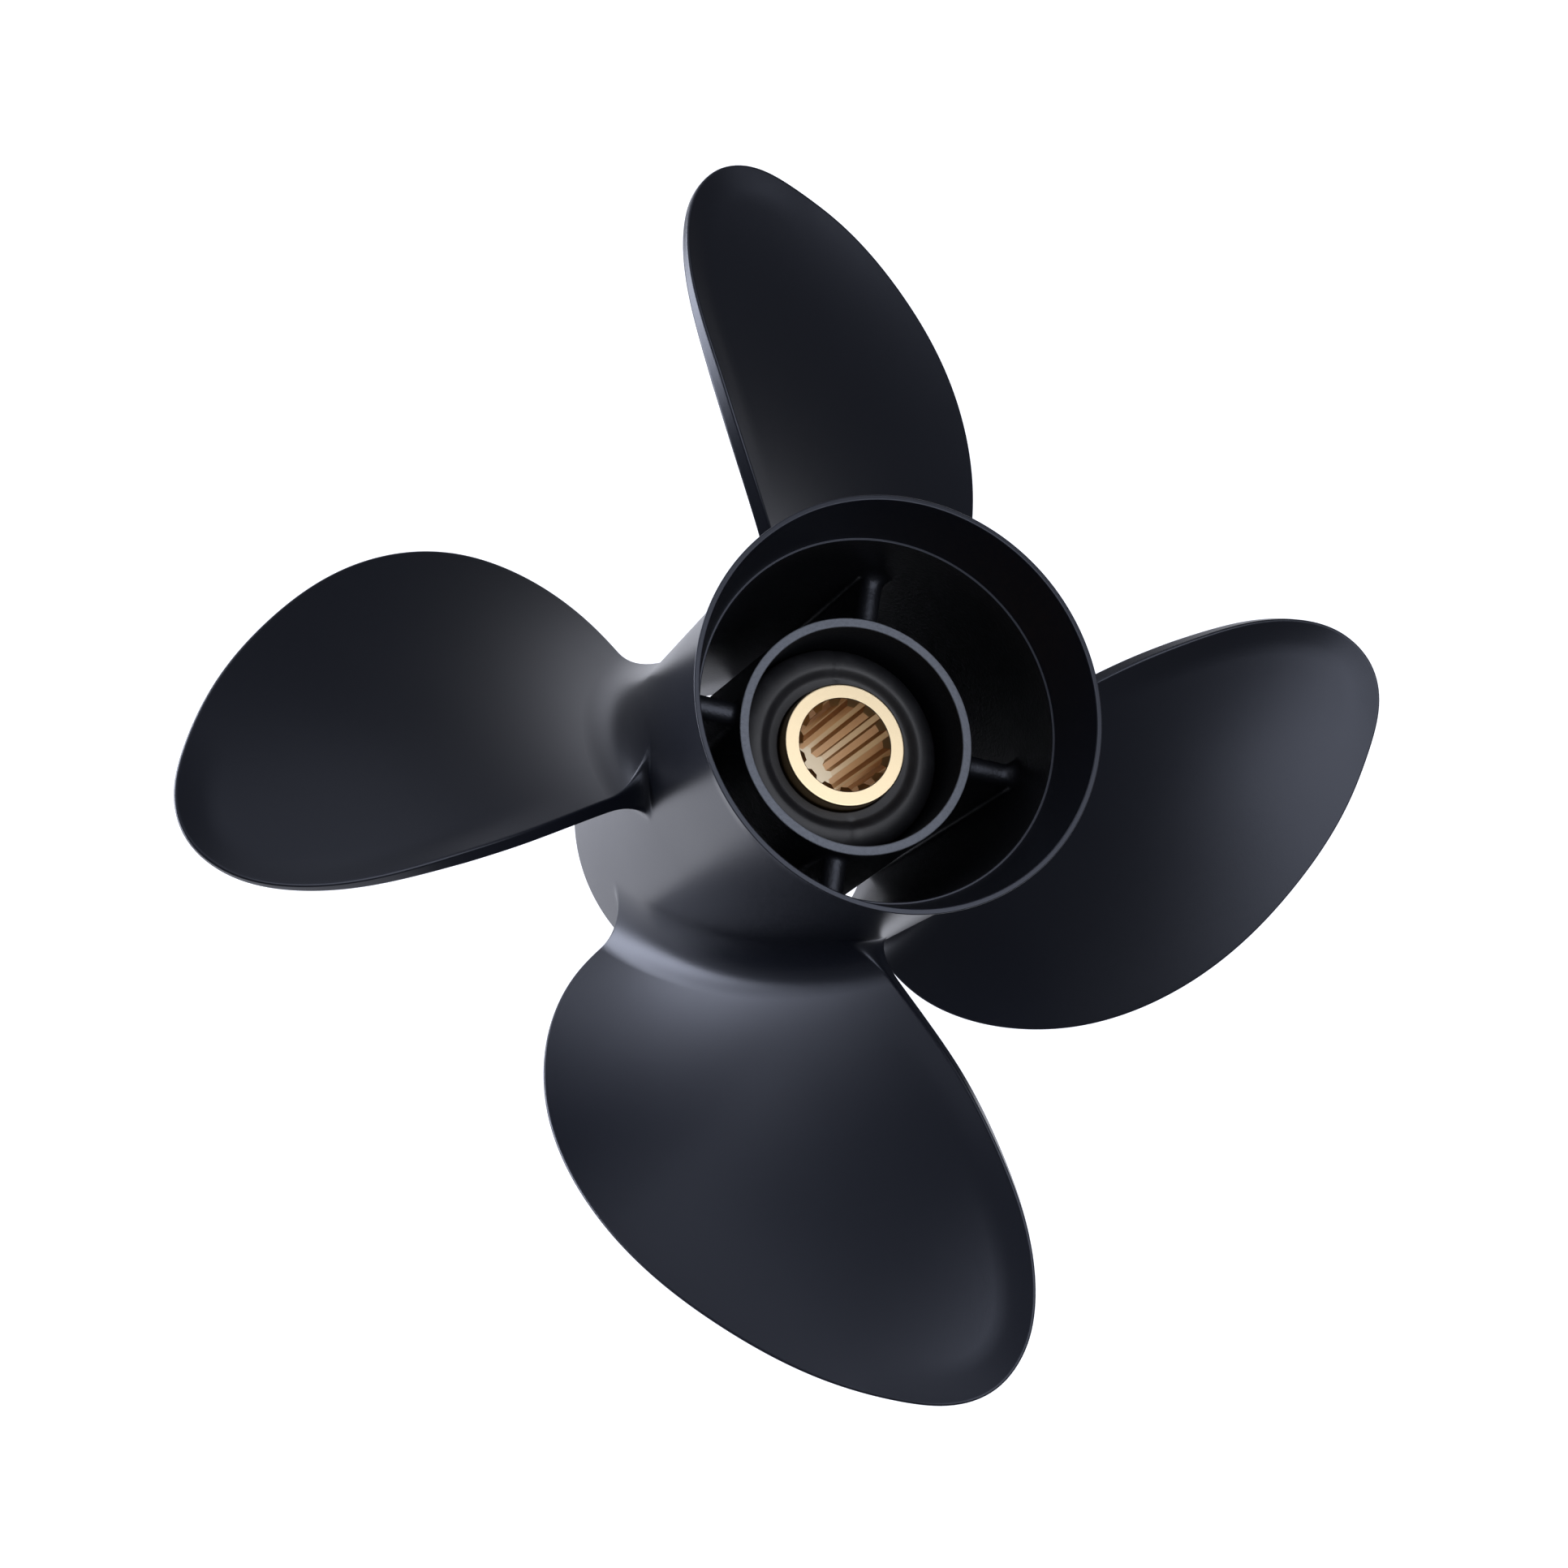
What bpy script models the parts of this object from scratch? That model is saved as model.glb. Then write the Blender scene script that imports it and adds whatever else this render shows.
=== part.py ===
"""Four-blade outboard propeller with through-hub exhaust, in metres, +Z pointing aft.

The casting stands on its flat front rim, with the shaft's axis on Z and the origin on that rim.
Barrel, inner hub, ribs and blades are one casting on the real object. They are separate solids
here, a hair's gap apart, so that each has its own name and its own collision shape.
Run it with: blender --background --python part.py
"""
import math

import bmesh
import bpy
import numpy as np

MM = 0.001
GAP = 0.3 * MM                       # clearance between touching solids

HUB_LENGTH = 146 * MM                # front rim to aft rim
RIB_COUNT = 4
BLADE_COUNT = 4
ROUND_STEPS = 96                     # facets round the barrel
BORE_STEPS = 60                      # facets round the bush and the sleeve

# Outer barrel, radii against height above the front rim
BARREL_FRONT_RADIUS = 53.5 * MM
BARREL_NECK_RADIUS = 49.4 * MM       # just ahead of the aft lip
BARREL_LIP_RADIUS = 52.6 * MM
LIP_LENGTH = 11 * MM
RIM_BORE_RADIUS = 51.0 * MM
RIM_BEVEL = 1.0 * MM
MACHINED_DEPTH = 16.5 * MM           # turned part of the aft bore, down to the step line
MACHINED_END_RADIUS = 47.1 * MM
CAST_BORE_RADIUS = 46.7 * MM         # rough bore below the step, drawn in towards the front
FRONT_BORE_RADIUS = 43.0 * MM

# Inner hub tube that holds the bush, thickened towards the front by the casting's draft
HUB_TOP = 112 * MM
HUB_BOTTOM = 3 * MM
HUB_RADIUS = 31.8 * MM
HUB_BASE_RADIUS = 37.4 * MM
HUB_BORE_RADIUS = 29.2 * MM
SHOULDER_HEIGHT = 8 * MM             # inward shoulder at the front that stops the bush
SHOULDER_RADIUS = 23 * MM
HUB_RIM_ROUND = 0.8 * MM

# Ribs between hub and barrel, with the same draft
RIB_TOP_THICKNESS = 6.5 * MM
RIB_FOOT_THICKNESS = 22 * MM
RIB_TOP = 108.5 * MM
RIB_BOTTOM = 8 * MM

# Rubber bush and brass sleeve
BUSH_CROWN_RADIUS = 22.5 * MM        # the ring's highest line
BUSH_CROWN_TOP = 98.5 * MM
BUSH_COLLAR_RADIUS = 19.3 * MM       # flat collar round the sleeve, inside this radius
BUSH_COLLAR_TOP = 96.6 * MM
BUSH_EDGE_TOP = 94 * MM              # where the ring meets the hub's bore
SLEEVE_TOP = 102 * MM
SLEEVE_BOTTOM = 6 * MM
SLEEVE_RADIUS = 16.8 * MM
SLEEVE_CHAMFER = 0.6 * MM
MOUTH_RADIUS = 12.9 * MM             # countersink at 45 degrees down to the tooth tips
SPLINE_END = 54.5 * MM               # height where the teeth stop
SPLINE_TEETH = 15
SPLINE_TIP_RADIUS = 11.2 * MM
SPLINE_ROOT_RADIUS = 12.75 * MM
GROOVE_OPENING = 0.60                # share of a tooth pitch at the tip radius
GROOVE_FLOOR = 0.30                  # share of a tooth pitch at the root radius
FRONT_BORE_SLEEVE_RADIUS = 13.4 * MM

# Blade surface: a helix, raked aft, whose pitch falls off towards the tip
BLADE_TURN = math.radians(57.2)      # where the first blade's reference line stands
REFERENCE_RADIUS = 102 * MM
REFERENCE_HEIGHT = 84.9 * MM
PITCH = 446 * MM                     # advance for one turn at the reference radius
# Terms below are for each rim bore radius outwards from the reference radius
RAKE = 8.5 * MM                      # rise aft
TIP_RAKE = 1.6 * MM                  # extra rise, growing with the cube
PITCH_SLOPE = 33 * MM                # loss of pitch
PITCH_BEND = 84 * MM                 # loss of pitch, growing with the square
TIP_RADIUS = 167.8 * MM
ROOT_RADIUS = 45 * MM                # the blade starts inside the barrel's wall

# Blade outline: radius in millimetres, angle from the reference line in degrees
LEADING_EDGE = ((45, -51.5), (62, -51.5), (77, -50.6), (95, -46.4), (114, -39.3), (131, -29.8),
                (150, -14.7), (159, -6.7), (165.7, 0.7), (167.8, 4.6))
TRAILING_EDGE = ((45, 7), (60, 10.5), (75, 13.3), (91, 15.4), (114, 16.3), (132, 15.9),
                 (145, 14.7), (158, 12.2), (166, 8.6), (167.8, 4.6))

# Blade thickness, across the blade's face
ROOT_THICKNESS = 10 * MM
TIP_THICKNESS = 3.4 * MM
LEADING_THICKNESS = 1.2 * MM
TRAILING_THICKNESS = 4.0 * MM
TIP_EDGE_THICKNESS = 1.8 * MM
EDGE_TAPER_START = 105 * MM          # the trailing edge thins from here to the tip
CUP_RISE = 1.5 * MM                  # aft curl along the outer trailing edge
CUP_WIDTH = 12 * MM
CUP_START = 70 * MM
CUP_FULL = 110 * MM
FACE_FILLET = 12 * MM                # rolling-ball fillets where blade meets barrel
BACK_FILLET = 8 * MM
CHORD_STEPS = 15
SPAN_STEPS = 22
CURVE_SAMPLES = 24

BLACK_PAINT = (0.020, 0.023, 0.030, 1.0)
RUBBER = (0.012, 0.012, 0.014, 1.0)
BRASS = (0.78, 0.57, 0.30, 1.0)


def clear_scene():
    for item in list(bpy.data.objects):
        bpy.data.objects.remove(item, do_unlink=True)


def new_collection(name):
    group = bpy.data.collections.new(name)
    bpy.context.scene.collection.children.link(group)
    return group


def material(name, colour, roughness, metallic):
    finish = bpy.data.materials.new(name)
    finish.use_nodes = True
    shader = finish.node_tree.nodes["Principled BSDF"]
    shader.inputs["Base Color"].default_value = colour
    shader.inputs["Roughness"].default_value = roughness
    shader.inputs["Metallic"].default_value = metallic
    finish.diffuse_color = colour
    return finish


def shade_round(item, angle=35):
    item.data.shade_smooth()
    item.data.set_sharp_from_angle(angle=math.radians(angle))


def add_mesh(name, mesh, group, finish=None):
    item = bpy.data.objects.new(name, mesh)
    group.objects.link(item)
    if finish:
        mesh.materials.append(finish)
    return item


def hide_as_cutter(item):
    item.hide_render = True
    item.display_type = "WIRE"


def turned(name, profile, steps, group, finish=None):
    """A closed profile of (radius, height) points turned about Z; it runs down its outer side."""
    mesh = bpy.data.meshes.new(name)
    points = [(radius, 0.0, height) for radius, height in profile]
    edges = [(i, (i + 1) % len(points)) for i in range(len(points))]
    mesh.from_pydata(points, edges, [])
    item = add_mesh(name, mesh, group, finish)
    screw = item.modifiers.new("Screw", "SCREW")
    screw.steps = screw.render_steps = steps
    screw.use_merge_vertices = True
    screw.merge_threshold = 0.00001
    screw.use_smooth_shade = True
    return item


def turned_plug(name, profile, steps, group):
    """A turned cutter whose profile starts and ends on the axis."""
    mesh = bpy.data.meshes.new(name)
    points = [(radius, 0.0, height) for radius, height in profile]
    mesh.from_pydata(points, [(i, i + 1) for i in range(len(points) - 1)], [])
    item = add_mesh(name, mesh, group)
    screw = item.modifiers.new("Screw", "SCREW")
    screw.steps = screw.render_steps = steps
    screw.use_merge_vertices = True
    screw.merge_threshold = 0.00001
    hide_as_cutter(item)
    return item


def boolean(item, other, operation):
    cut = item.modifiers.new(operation.title(), "BOOLEAN")
    cut.operation = operation
    cut.solver = "EXACT"
    cut.object = other


def barrel_radius(height):
    """Outer radius of the barrel: a plain taper with a lip flared out at the aft rim."""
    lip_start = HUB_LENGTH - LIP_LENGTH
    along = np.clip(height / lip_start, 0.0, 1.0)
    taper = BARREL_FRONT_RADIUS + (BARREL_NECK_RADIUS - BARREL_FRONT_RADIUS) * along
    flare = np.clip((height - lip_start) / LIP_LENGTH, 0.0, 1.0)
    return taper + (BARREL_LIP_RADIUS - BARREL_NECK_RADIUS) * flare ** 2


def cast_bore_radius(height):
    """Radius of the rough bore, which the casting's draft narrows towards the front."""
    share = height / (HUB_LENGTH - MACHINED_DEPTH)
    return FRONT_BORE_RADIUS + (CAST_BORE_RADIUS - FRONT_BORE_RADIUS) * share


def barrel_profile():
    heights = [HUB_LENGTH - RIM_BEVEL - LIP_LENGTH * part for part in (0, 0.25, 0.5, 0.9)]
    outer = [(float(barrel_radius(height)), height) for height in heights]
    inner = [(FRONT_BORE_RADIUS, 0.0), (CAST_BORE_RADIUS, HUB_LENGTH - MACHINED_DEPTH - 0.3 * MM),
             (MACHINED_END_RADIUS, HUB_LENGTH - MACHINED_DEPTH),
             (RIM_BORE_RADIUS, HUB_LENGTH)]
    rim = [(BARREL_LIP_RADIUS - RIM_BEVEL, HUB_LENGTH)]
    return rim + outer + [(BARREL_FRONT_RADIUS, 0.0)] + inner


def hub_profile():
    return [(HUB_RADIUS - HUB_RIM_ROUND, HUB_TOP), (HUB_RADIUS, HUB_TOP - HUB_RIM_ROUND),
            (HUB_BASE_RADIUS, HUB_BOTTOM), (SHOULDER_RADIUS, HUB_BOTTOM),
            (SHOULDER_RADIUS, SHOULDER_HEIGHT), (HUB_BORE_RADIUS - 0.6 * MM, SHOULDER_HEIGHT),
            (HUB_BORE_RADIUS, HUB_TOP)]


def hub_outer_radius(height):
    share = (height - HUB_BOTTOM) / (HUB_TOP - HUB_BOTTOM)
    return HUB_BASE_RADIUS + (HUB_RADIUS - HUB_BASE_RADIUS) * share


def bush_profile():
    """Rubber ring with a rounded crown and a flat collar round the sleeve."""
    inner = SLEEVE_RADIUS + GAP
    outer = HUB_BORE_RADIUS - 0.6 * MM - GAP
    half = outer - BUSH_CROWN_RADIUS
    rise = BUSH_CROWN_TOP - BUSH_EDGE_TOP
    crown = [(BUSH_CROWN_RADIUS + half * math.cos(turn), BUSH_EDGE_TOP + rise * math.sin(turn))
             for turn in (math.radians(step) for step in range(90, -1, -18))]
    bottom = SHOULDER_HEIGHT + GAP
    collar = [(inner, BUSH_COLLAR_TOP), (BUSH_COLLAR_RADIUS, BUSH_COLLAR_TOP)]
    return collar + crown + [(outer, bottom), (inner, bottom)]


def sleeve_profile():
    mouth_end = SLEEVE_TOP - (MOUTH_RADIUS - SPLINE_TIP_RADIUS)
    return [(SLEEVE_RADIUS - SLEEVE_CHAMFER, SLEEVE_TOP), (SLEEVE_RADIUS, SLEEVE_TOP - SLEEVE_CHAMFER),
            (SLEEVE_RADIUS, SLEEVE_BOTTOM + SLEEVE_CHAMFER),
            (SLEEVE_RADIUS - SLEEVE_CHAMFER, SLEEVE_BOTTOM),
            (FRONT_BORE_SLEEVE_RADIUS, SLEEVE_BOTTOM), (FRONT_BORE_SLEEVE_RADIUS, SPLINE_END),
            (SPLINE_TIP_RADIUS, SPLINE_END), (SPLINE_TIP_RADIUS, mouth_end),
            (MOUTH_RADIUS, SLEEVE_TOP)]


def extruded(name, outline, offset):
    """A flat outline of points pushed along the offset into a closed solid."""
    work = bmesh.new()
    face = work.faces.new([work.verts.new(point) for point in outline])
    grown = bmesh.ops.extrude_face_region(work, geom=[face])
    moved = [item for item in grown["geom"] if isinstance(item, bmesh.types.BMVert)]
    bmesh.ops.translate(work, verts=moved, vec=offset)
    bmesh.ops.recalc_face_normals(work, faces=work.faces)
    mesh = bpy.data.meshes.new(name)
    work.to_mesh(mesh)
    work.free()
    return mesh


def spline_cutter(group):
    """A toothed bar that leaves fifteen teeth standing in the sleeve's bore."""
    past = 1 * MM
    low = SPLINE_TIP_RADIUS - 0.6 * MM
    flank = (GROOVE_OPENING - GROOVE_FLOOR) / (SPLINE_ROOT_RADIUS - SPLINE_TIP_RADIUS)
    wide = GROOVE_OPENING + flank * (SPLINE_TIP_RADIUS - low)
    groove = ((-wide / 2, low), (-GROOVE_FLOOR / 2, SPLINE_ROOT_RADIUS), (0.0, SPLINE_ROOT_RADIUS),
              (GROOVE_FLOOR / 2, SPLINE_ROOT_RADIUS), (wide / 2, low))
    outline = []
    for tooth in range(SPLINE_TEETH):
        for share, radius in groove:
            turn = (tooth + share) * 2 * math.pi / SPLINE_TEETH
            outline.append((radius * math.cos(turn), radius * math.sin(turn), SPLINE_END - past))
    height = SLEEVE_TOP - SPLINE_END + 2 * past
    cutter = add_mesh("spline_cutter", extruded("spline_cutter", outline, (0, 0, height)), group)
    hide_as_cutter(cutter)
    return cutter


def rib(index, group, cutters, finish):
    """A tapered web with a rounded aft edge, trimmed to the passage between hub and barrel."""
    inner = HUB_RADIUS - 4 * MM
    outer = CAST_BORE_RADIUS + 2 * MM
    half, foot = RIB_TOP_THICKNESS / 2, RIB_FOOT_THICKNESS / 2
    profile = [(-foot, RIB_BOTTOM), (foot, RIB_BOTTOM), (half, RIB_TOP - half)]
    profile += [(half * math.cos(turn), RIB_TOP - half + half * math.sin(turn))
                for turn in (math.radians(step) for step in (30, 60, 90, 120, 150))]
    profile.append((-half, RIB_TOP - half))
    name = f"rib_{index + 1}"
    outline = [(inner, y, z) for y, z in profile]
    item = add_mesh(name, extruded(name, outline, (outer - inner, 0, 0)), group, finish)
    item.rotation_euler.z = math.radians(45 + 90 * index)
    boolean(item, cutters["passage"], "INTERSECT")
    return item


def smooth_curve(points, samples):
    """Catmull-Rom curve through the points, as an array of (radius, angle) rows."""
    nodes = np.array(points, float)
    nodes = np.vstack([2 * nodes[0] - nodes[1], nodes, 2 * nodes[-1] - nodes[-2]])
    rows = []
    for i in range(1, len(nodes) - 2):
        before, start, end, after = nodes[i - 1:i + 3]
        for t in np.linspace(0, 1, samples, endpoint=False):
            rows.append(0.5 * (2 * start + (end - before) * t
                               + (2 * before - 5 * start + 4 * end - after) * t ** 2
                               + (3 * start - before - 3 * end + after) * t ** 3))
    rows.append(nodes[-2])
    return np.array(rows)


def edge_curves():
    """Leading and trailing edge as (radius, angle) rows that meet smoothly at the tip."""
    around = list(LEADING_EDGE) + list(TRAILING_EDGE[-2::-1])
    rows = smooth_curve(around, CURVE_SAMPLES)
    tip = (len(LEADING_EDGE) - 1) * CURVE_SAMPLES
    leading = rows[:tip + 1]
    trailing = rows[tip:][::-1]
    return leading, trailing


def smooth_step(value):
    value = np.clip(value, 0.0, 1.0)
    return value * value * (3 - 2 * value)


def blade_advance(radius):
    """Rise of the blade surface for each radian round the axis."""
    out = (radius - REFERENCE_RADIUS) / RIM_BORE_RADIUS
    return (PITCH - PITCH_SLOPE * out - PITCH_BEND * out ** 2) / (2 * math.pi)


def blade_height(radius, angle):
    """Height of the pressure face's surface without its cup."""
    out = (radius - REFERENCE_RADIUS) / RIM_BORE_RADIUS
    return REFERENCE_HEIGHT + RAKE * out + TIP_RAKE * out ** 3 + blade_advance(radius) * angle


def edge_thickness(radius, chord):
    """Thickness left at the edges, from the leading (chord 0) to the trailing one (chord 1)."""
    thinned = np.clip((radius - EDGE_TAPER_START) / (TIP_RADIUS - EDGE_TAPER_START), 0, 1)
    trailing = TRAILING_THICKNESS + (TIP_EDGE_THICKNESS - TRAILING_THICKNESS) * thinned
    return LEADING_THICKNESS + (trailing - LEADING_THICKNESS) * chord


def section(radius, lead, trail, chord):
    """One closed section at a radius, worked out in the unrolled cylinder."""
    angle = lead + (trail - lead) * chord
    height = blade_height(radius, angle)
    advance = blade_advance(radius)
    slope = np.array([radius, advance]) / math.hypot(radius, advance)
    normal = np.array([-slope[1], slope[0]])
    chord_length = (trail - lead) * math.hypot(radius, advance)
    from_trail = (1 - chord) * chord_length
    cup = CUP_RISE * smooth_step((radius - CUP_START) / (CUP_FULL - CUP_START))
    rise = cup * np.clip(1 - from_trail / CUP_WIDTH, 0, 1) ** 2
    span = np.clip((radius - ROOT_RADIUS) / (TIP_RADIUS - ROOT_RADIUS), 0, 1)
    edge = edge_thickness(radius, chord)
    full = min(ROOT_THICKNESS + (TIP_THICKNESS - ROOT_THICKNESS) * span,
               edge.max() + 0.09 * chord_length)
    thickness = edge + (full - edge) * (4 * chord * (1 - chord)) ** 0.75
    face_flare = root_flare(radius, height, FACE_FILLET)
    back_flare = root_flare(radius, height, BACK_FILLET)
    surface = np.stack([radius * angle, height], 1)
    face = surface + normal * (rise + face_flare)[:, None]
    back = surface + normal * (rise - thickness - back_flare)[:, None]
    for side in (face, back):
        side[0] -= slope * back_flare[0]
        side[-1] += slope * back_flare[-1]
    loop = np.vstack([face, back[::-1]])
    turn = loop[:, 0] / radius
    return np.stack([radius * np.cos(turn), radius * np.sin(turn), loop[:, 1]], 1)


def root_flare(radius, height, fillet):
    """How far a rolling-ball fillet pushes the section out, close to the barrel."""
    above = np.clip(radius - barrel_radius(height), 0, fillet)
    return fillet - np.sqrt(fillet ** 2 - (fillet - above) ** 2)


def blade_mesh(name):
    leading, trailing = edge_curves()
    root_zone = [ROOT_RADIUS] + [radius * MM for radius in (50, 51.5, 52.5, 53.5, 55, 57, 59.5, 62.5, 66)]
    outer = root_zone[-1]
    ease = np.sin(np.linspace(0, math.pi / 2, SPAN_STEPS))[1:]
    radii = root_zone + list(outer + (TIP_RADIUS - 0.05 * MM - outer) * ease)
    chord = 0.5 - 0.5 * np.cos(np.linspace(0, math.pi, CHORD_STEPS))
    work = bmesh.new()
    loops = []
    for radius in radii:
        lead = math.radians(np.interp(radius / MM, leading[:, 0], leading[:, 1]))
        trail = math.radians(np.interp(radius / MM, trailing[:, 0], trailing[:, 1]))
        loops.append([work.verts.new(point) for point in section(radius, lead, trail, chord)])
    for low, high in zip(loops, loops[1:]):
        for i in range(len(low)):
            j = (i + 1) % len(low)
            work.faces.new((low[i], low[j], high[j], high[i]))
    for loop in (loops[0], loops[-1]):
        for i in range(CHORD_STEPS - 1):
            far = len(loop) - 1 - i
            work.faces.new((loop[i], loop[i + 1], loop[far - 1], loop[far]))
    bmesh.ops.triangulate(work, faces=work.faces)
    bmesh.ops.recalc_face_normals(work, faces=work.faces)
    mesh = bpy.data.meshes.new(name)
    work.to_mesh(mesh)
    work.free()
    return mesh


def barrel_envelope(group):
    """The barrel's outside grown by the gap, long enough to trim every blade's foot."""
    past = 20 * MM
    heights = [HUB_LENGTH + past, HUB_LENGTH, HUB_LENGTH - LIP_LENGTH]
    outer = [(float(barrel_radius(height)) + GAP, height) for height in heights]
    profile = [(0.0, HUB_LENGTH + past)] + outer
    profile += [(BARREL_FRONT_RADIUS + GAP, 0.0), (BARREL_FRONT_RADIUS + GAP, -past), (0.0, -past)]
    return turned_plug("barrel_envelope", profile, ROUND_STEPS, group)


def passage_envelope(group):
    """The ring of space between hub and barrel, less the gap on both sides."""
    clear = GAP + 0.1 * MM
    low, high = HUB_BOTTOM, HUB_LENGTH - MACHINED_DEPTH - 1 * MM
    profile = [(cast_bore_radius(high) - clear, high), (cast_bore_radius(low) - clear, low),
               (hub_outer_radius(low) + clear, low), (hub_outer_radius(high) + clear, high)]
    ring = turned("passage_envelope", profile, ROUND_STEPS, group)
    hide_as_cutter(ring)
    return ring


def build():
    clear_scene()
    pieces = new_collection("outboard_propeller")
    helpers = new_collection("cutters")
    paint = material("black_paint", BLACK_PAINT, 0.38, 0.0)
    rubber = material("rubber", RUBBER, 0.55, 0.0)
    brass = material("brass", BRASS, 0.30, 1.0)

    turned("outer_barrel", barrel_profile(), ROUND_STEPS, pieces, paint)
    turned("inner_hub", hub_profile(), ROUND_STEPS, pieces, paint)
    turned("rubber_bush", bush_profile(), BORE_STEPS, pieces, rubber)
    sleeve = turned("spline_sleeve", sleeve_profile(), BORE_STEPS, pieces, brass)
    boolean(sleeve, spline_cutter(helpers), "DIFFERENCE")

    cutters = {"passage": passage_envelope(helpers), "barrel": barrel_envelope(helpers)}
    for index in range(RIB_COUNT):
        rib(index, pieces, cutters, paint)
    mesh = blade_mesh("blade")
    mesh.materials.append(paint)
    for index in range(BLADE_COUNT):
        blade = add_mesh(f"blade_{index + 1}", mesh, pieces)
        blade.rotation_euler.z = BLADE_TURN + 2 * math.pi * index / BLADE_COUNT
        boolean(blade, cutters["barrel"], "DIFFERENCE")
        shade_round(blade)


build()
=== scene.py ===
"""Looks of a four-blade outboard propeller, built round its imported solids.

The casting is one closed skin. A quarter of it is modelled, with one blade and one rib, and a
Geometry Nodes tree turns it into the whole. The rubber bush and the splined sleeve follow, then
their finishes, the studio and the camera. Lengths in the classes are millimetres.
"""
import logging
import math
from dataclasses import dataclass, field
from enum import Enum
from functools import cached_property
from typing import Any, Callable, Sequence

import bmesh
import bpy
import numpy as np
from mathutils import Matrix, Vector
from mathutils.geometry import delaunay_2d_cdt


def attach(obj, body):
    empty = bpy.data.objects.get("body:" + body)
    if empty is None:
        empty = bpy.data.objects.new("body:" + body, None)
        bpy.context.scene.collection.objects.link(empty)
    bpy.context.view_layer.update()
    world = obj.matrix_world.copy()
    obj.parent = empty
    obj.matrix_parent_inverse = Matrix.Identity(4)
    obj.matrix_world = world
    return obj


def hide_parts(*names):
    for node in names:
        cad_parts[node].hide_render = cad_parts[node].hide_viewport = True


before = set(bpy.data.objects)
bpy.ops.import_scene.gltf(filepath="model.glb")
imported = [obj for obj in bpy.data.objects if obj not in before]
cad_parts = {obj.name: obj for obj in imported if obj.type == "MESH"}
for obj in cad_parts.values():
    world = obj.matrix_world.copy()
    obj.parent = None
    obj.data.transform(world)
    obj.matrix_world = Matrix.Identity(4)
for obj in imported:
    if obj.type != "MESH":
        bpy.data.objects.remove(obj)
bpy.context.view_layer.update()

MM = 0.001
BODY = "root"
IMAGE_SIDE = 1932
FOOT_CLEARANCE = 0.9                 # millimetres that loose points keep from a foot's loop
NET_CLEARANCE = 1.2                  # and from the net along a blade's outline
SUPPORT_SHARE = 0.25                 # of a rounding, from its arc to the support point beside it
MERGE_DISTANCE = 0.005

Array = np.ndarray
Colour = tuple[float, float, float, float]

log = logging.getLogger("propeller")


class Slot(Enum):
    """Names of the record's material slots for the visible pieces' finishes."""

    PAINT = "black_paint"
    RUBBER = "rubber"
    BRASS = "brass"


class Copies(Enum):
    """How often each modelled unit repeats round the shaft."""

    QUARTERS = 4
    TEETH = 15


# Curves and profiles


def smooth_step(value: Array | float) -> Array | float:
    """Return a value eased from 0 to 1 with flat ends."""
    held = np.clip(value, 0.0, 1.0)
    return held * held * (3 - 2 * held)


def natural_spline(points: Array, spacing: float) -> Array:
    """Pass a smooth curve through points.

    Args:
        points: rows of plane coordinates in order.
        spacing: distance between samples along the curve.

    Returns:
        Rows of samples on a cubic spline whose parameter is chord length.
    """
    steps = np.hypot(*np.diff(points, axis=0).T)
    knots = np.concatenate([[0.0], np.cumsum(steps)])
    size = len(points)
    system = np.eye(size)
    right = np.zeros((size, 2))
    slopes = np.diff(points, axis=0) / steps[:, None]
    for i in range(1, size - 1):
        system[i, i - 1:i + 2] = (steps[i - 1], 2 * (steps[i - 1] + steps[i]), steps[i])
        right[i] = 6 * (slopes[i] - slopes[i - 1])
    bends = np.linalg.solve(system, right)
    samples = np.linspace(0, knots[-1], int(knots[-1] / spacing) + 1)
    spans = np.clip(np.searchsorted(knots, samples, side="right") - 1, 0, size - 2)
    gap = steps[spans][:, None]
    ahead = knots[spans + 1][:, None] - samples[:, None]
    behind = samples[:, None] - knots[spans][:, None]
    start, end = bends[spans], bends[spans + 1]
    return (start * ahead ** 3 / (6 * gap) + end * behind ** 3 / (6 * gap)
            + (points[spans] / gap - start * gap / 6) * ahead
            + (points[spans + 1] / gap - end * gap / 6) * behind)


def rounded_profile(corners: Sequence[tuple[float, float, float]], arc_steps: int = 6) -> Array:
    """Round the corners of an open profile.

    Args:
        corners: (radius, height, rounding) of each corner, the first and last left as they are.
        arc_steps: number of facets in each rounded corner.

    Returns:
        Rows of (radius, height), with a support point on the straight beside each arc.
    """
    rows: list[Array] = [np.array(corners[0][:2], float)]
    for i in range(1, len(corners) - 1):
        corner = np.array(corners[i][:2], float)
        rounding = corners[i][2]
        into = corner - np.array(corners[i - 1][:2], float)
        onward = np.array(corners[i + 1][:2], float) - corner
        into /= np.hypot(*into)
        onward /= np.hypot(*onward)
        bend = math.acos(float(np.clip(into @ onward, -1, 1)))
        if rounding <= 0 or bend < 0.01:
            rows.append(corner)
            continue
        reach = rounding * math.tan(bend / 2)
        start, end = corner - into * reach, corner + onward * reach
        side = np.array([-into[1], into[0]])
        side *= math.copysign(1.0, float(side @ onward))
        centre = start + side * rounding
        rows.append(start - into * SUPPORT_SHARE * rounding)
        for step in range(arc_steps + 1):
            turn = bend * step / arc_steps
            rows.append(centre - side * rounding * math.cos(turn) + into * rounding * math.sin(turn))
        rows.append(end + onward * SUPPORT_SHARE * rounding)
    rows.append(np.array(corners[-1][:2], float))
    return np.array(rows)


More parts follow.
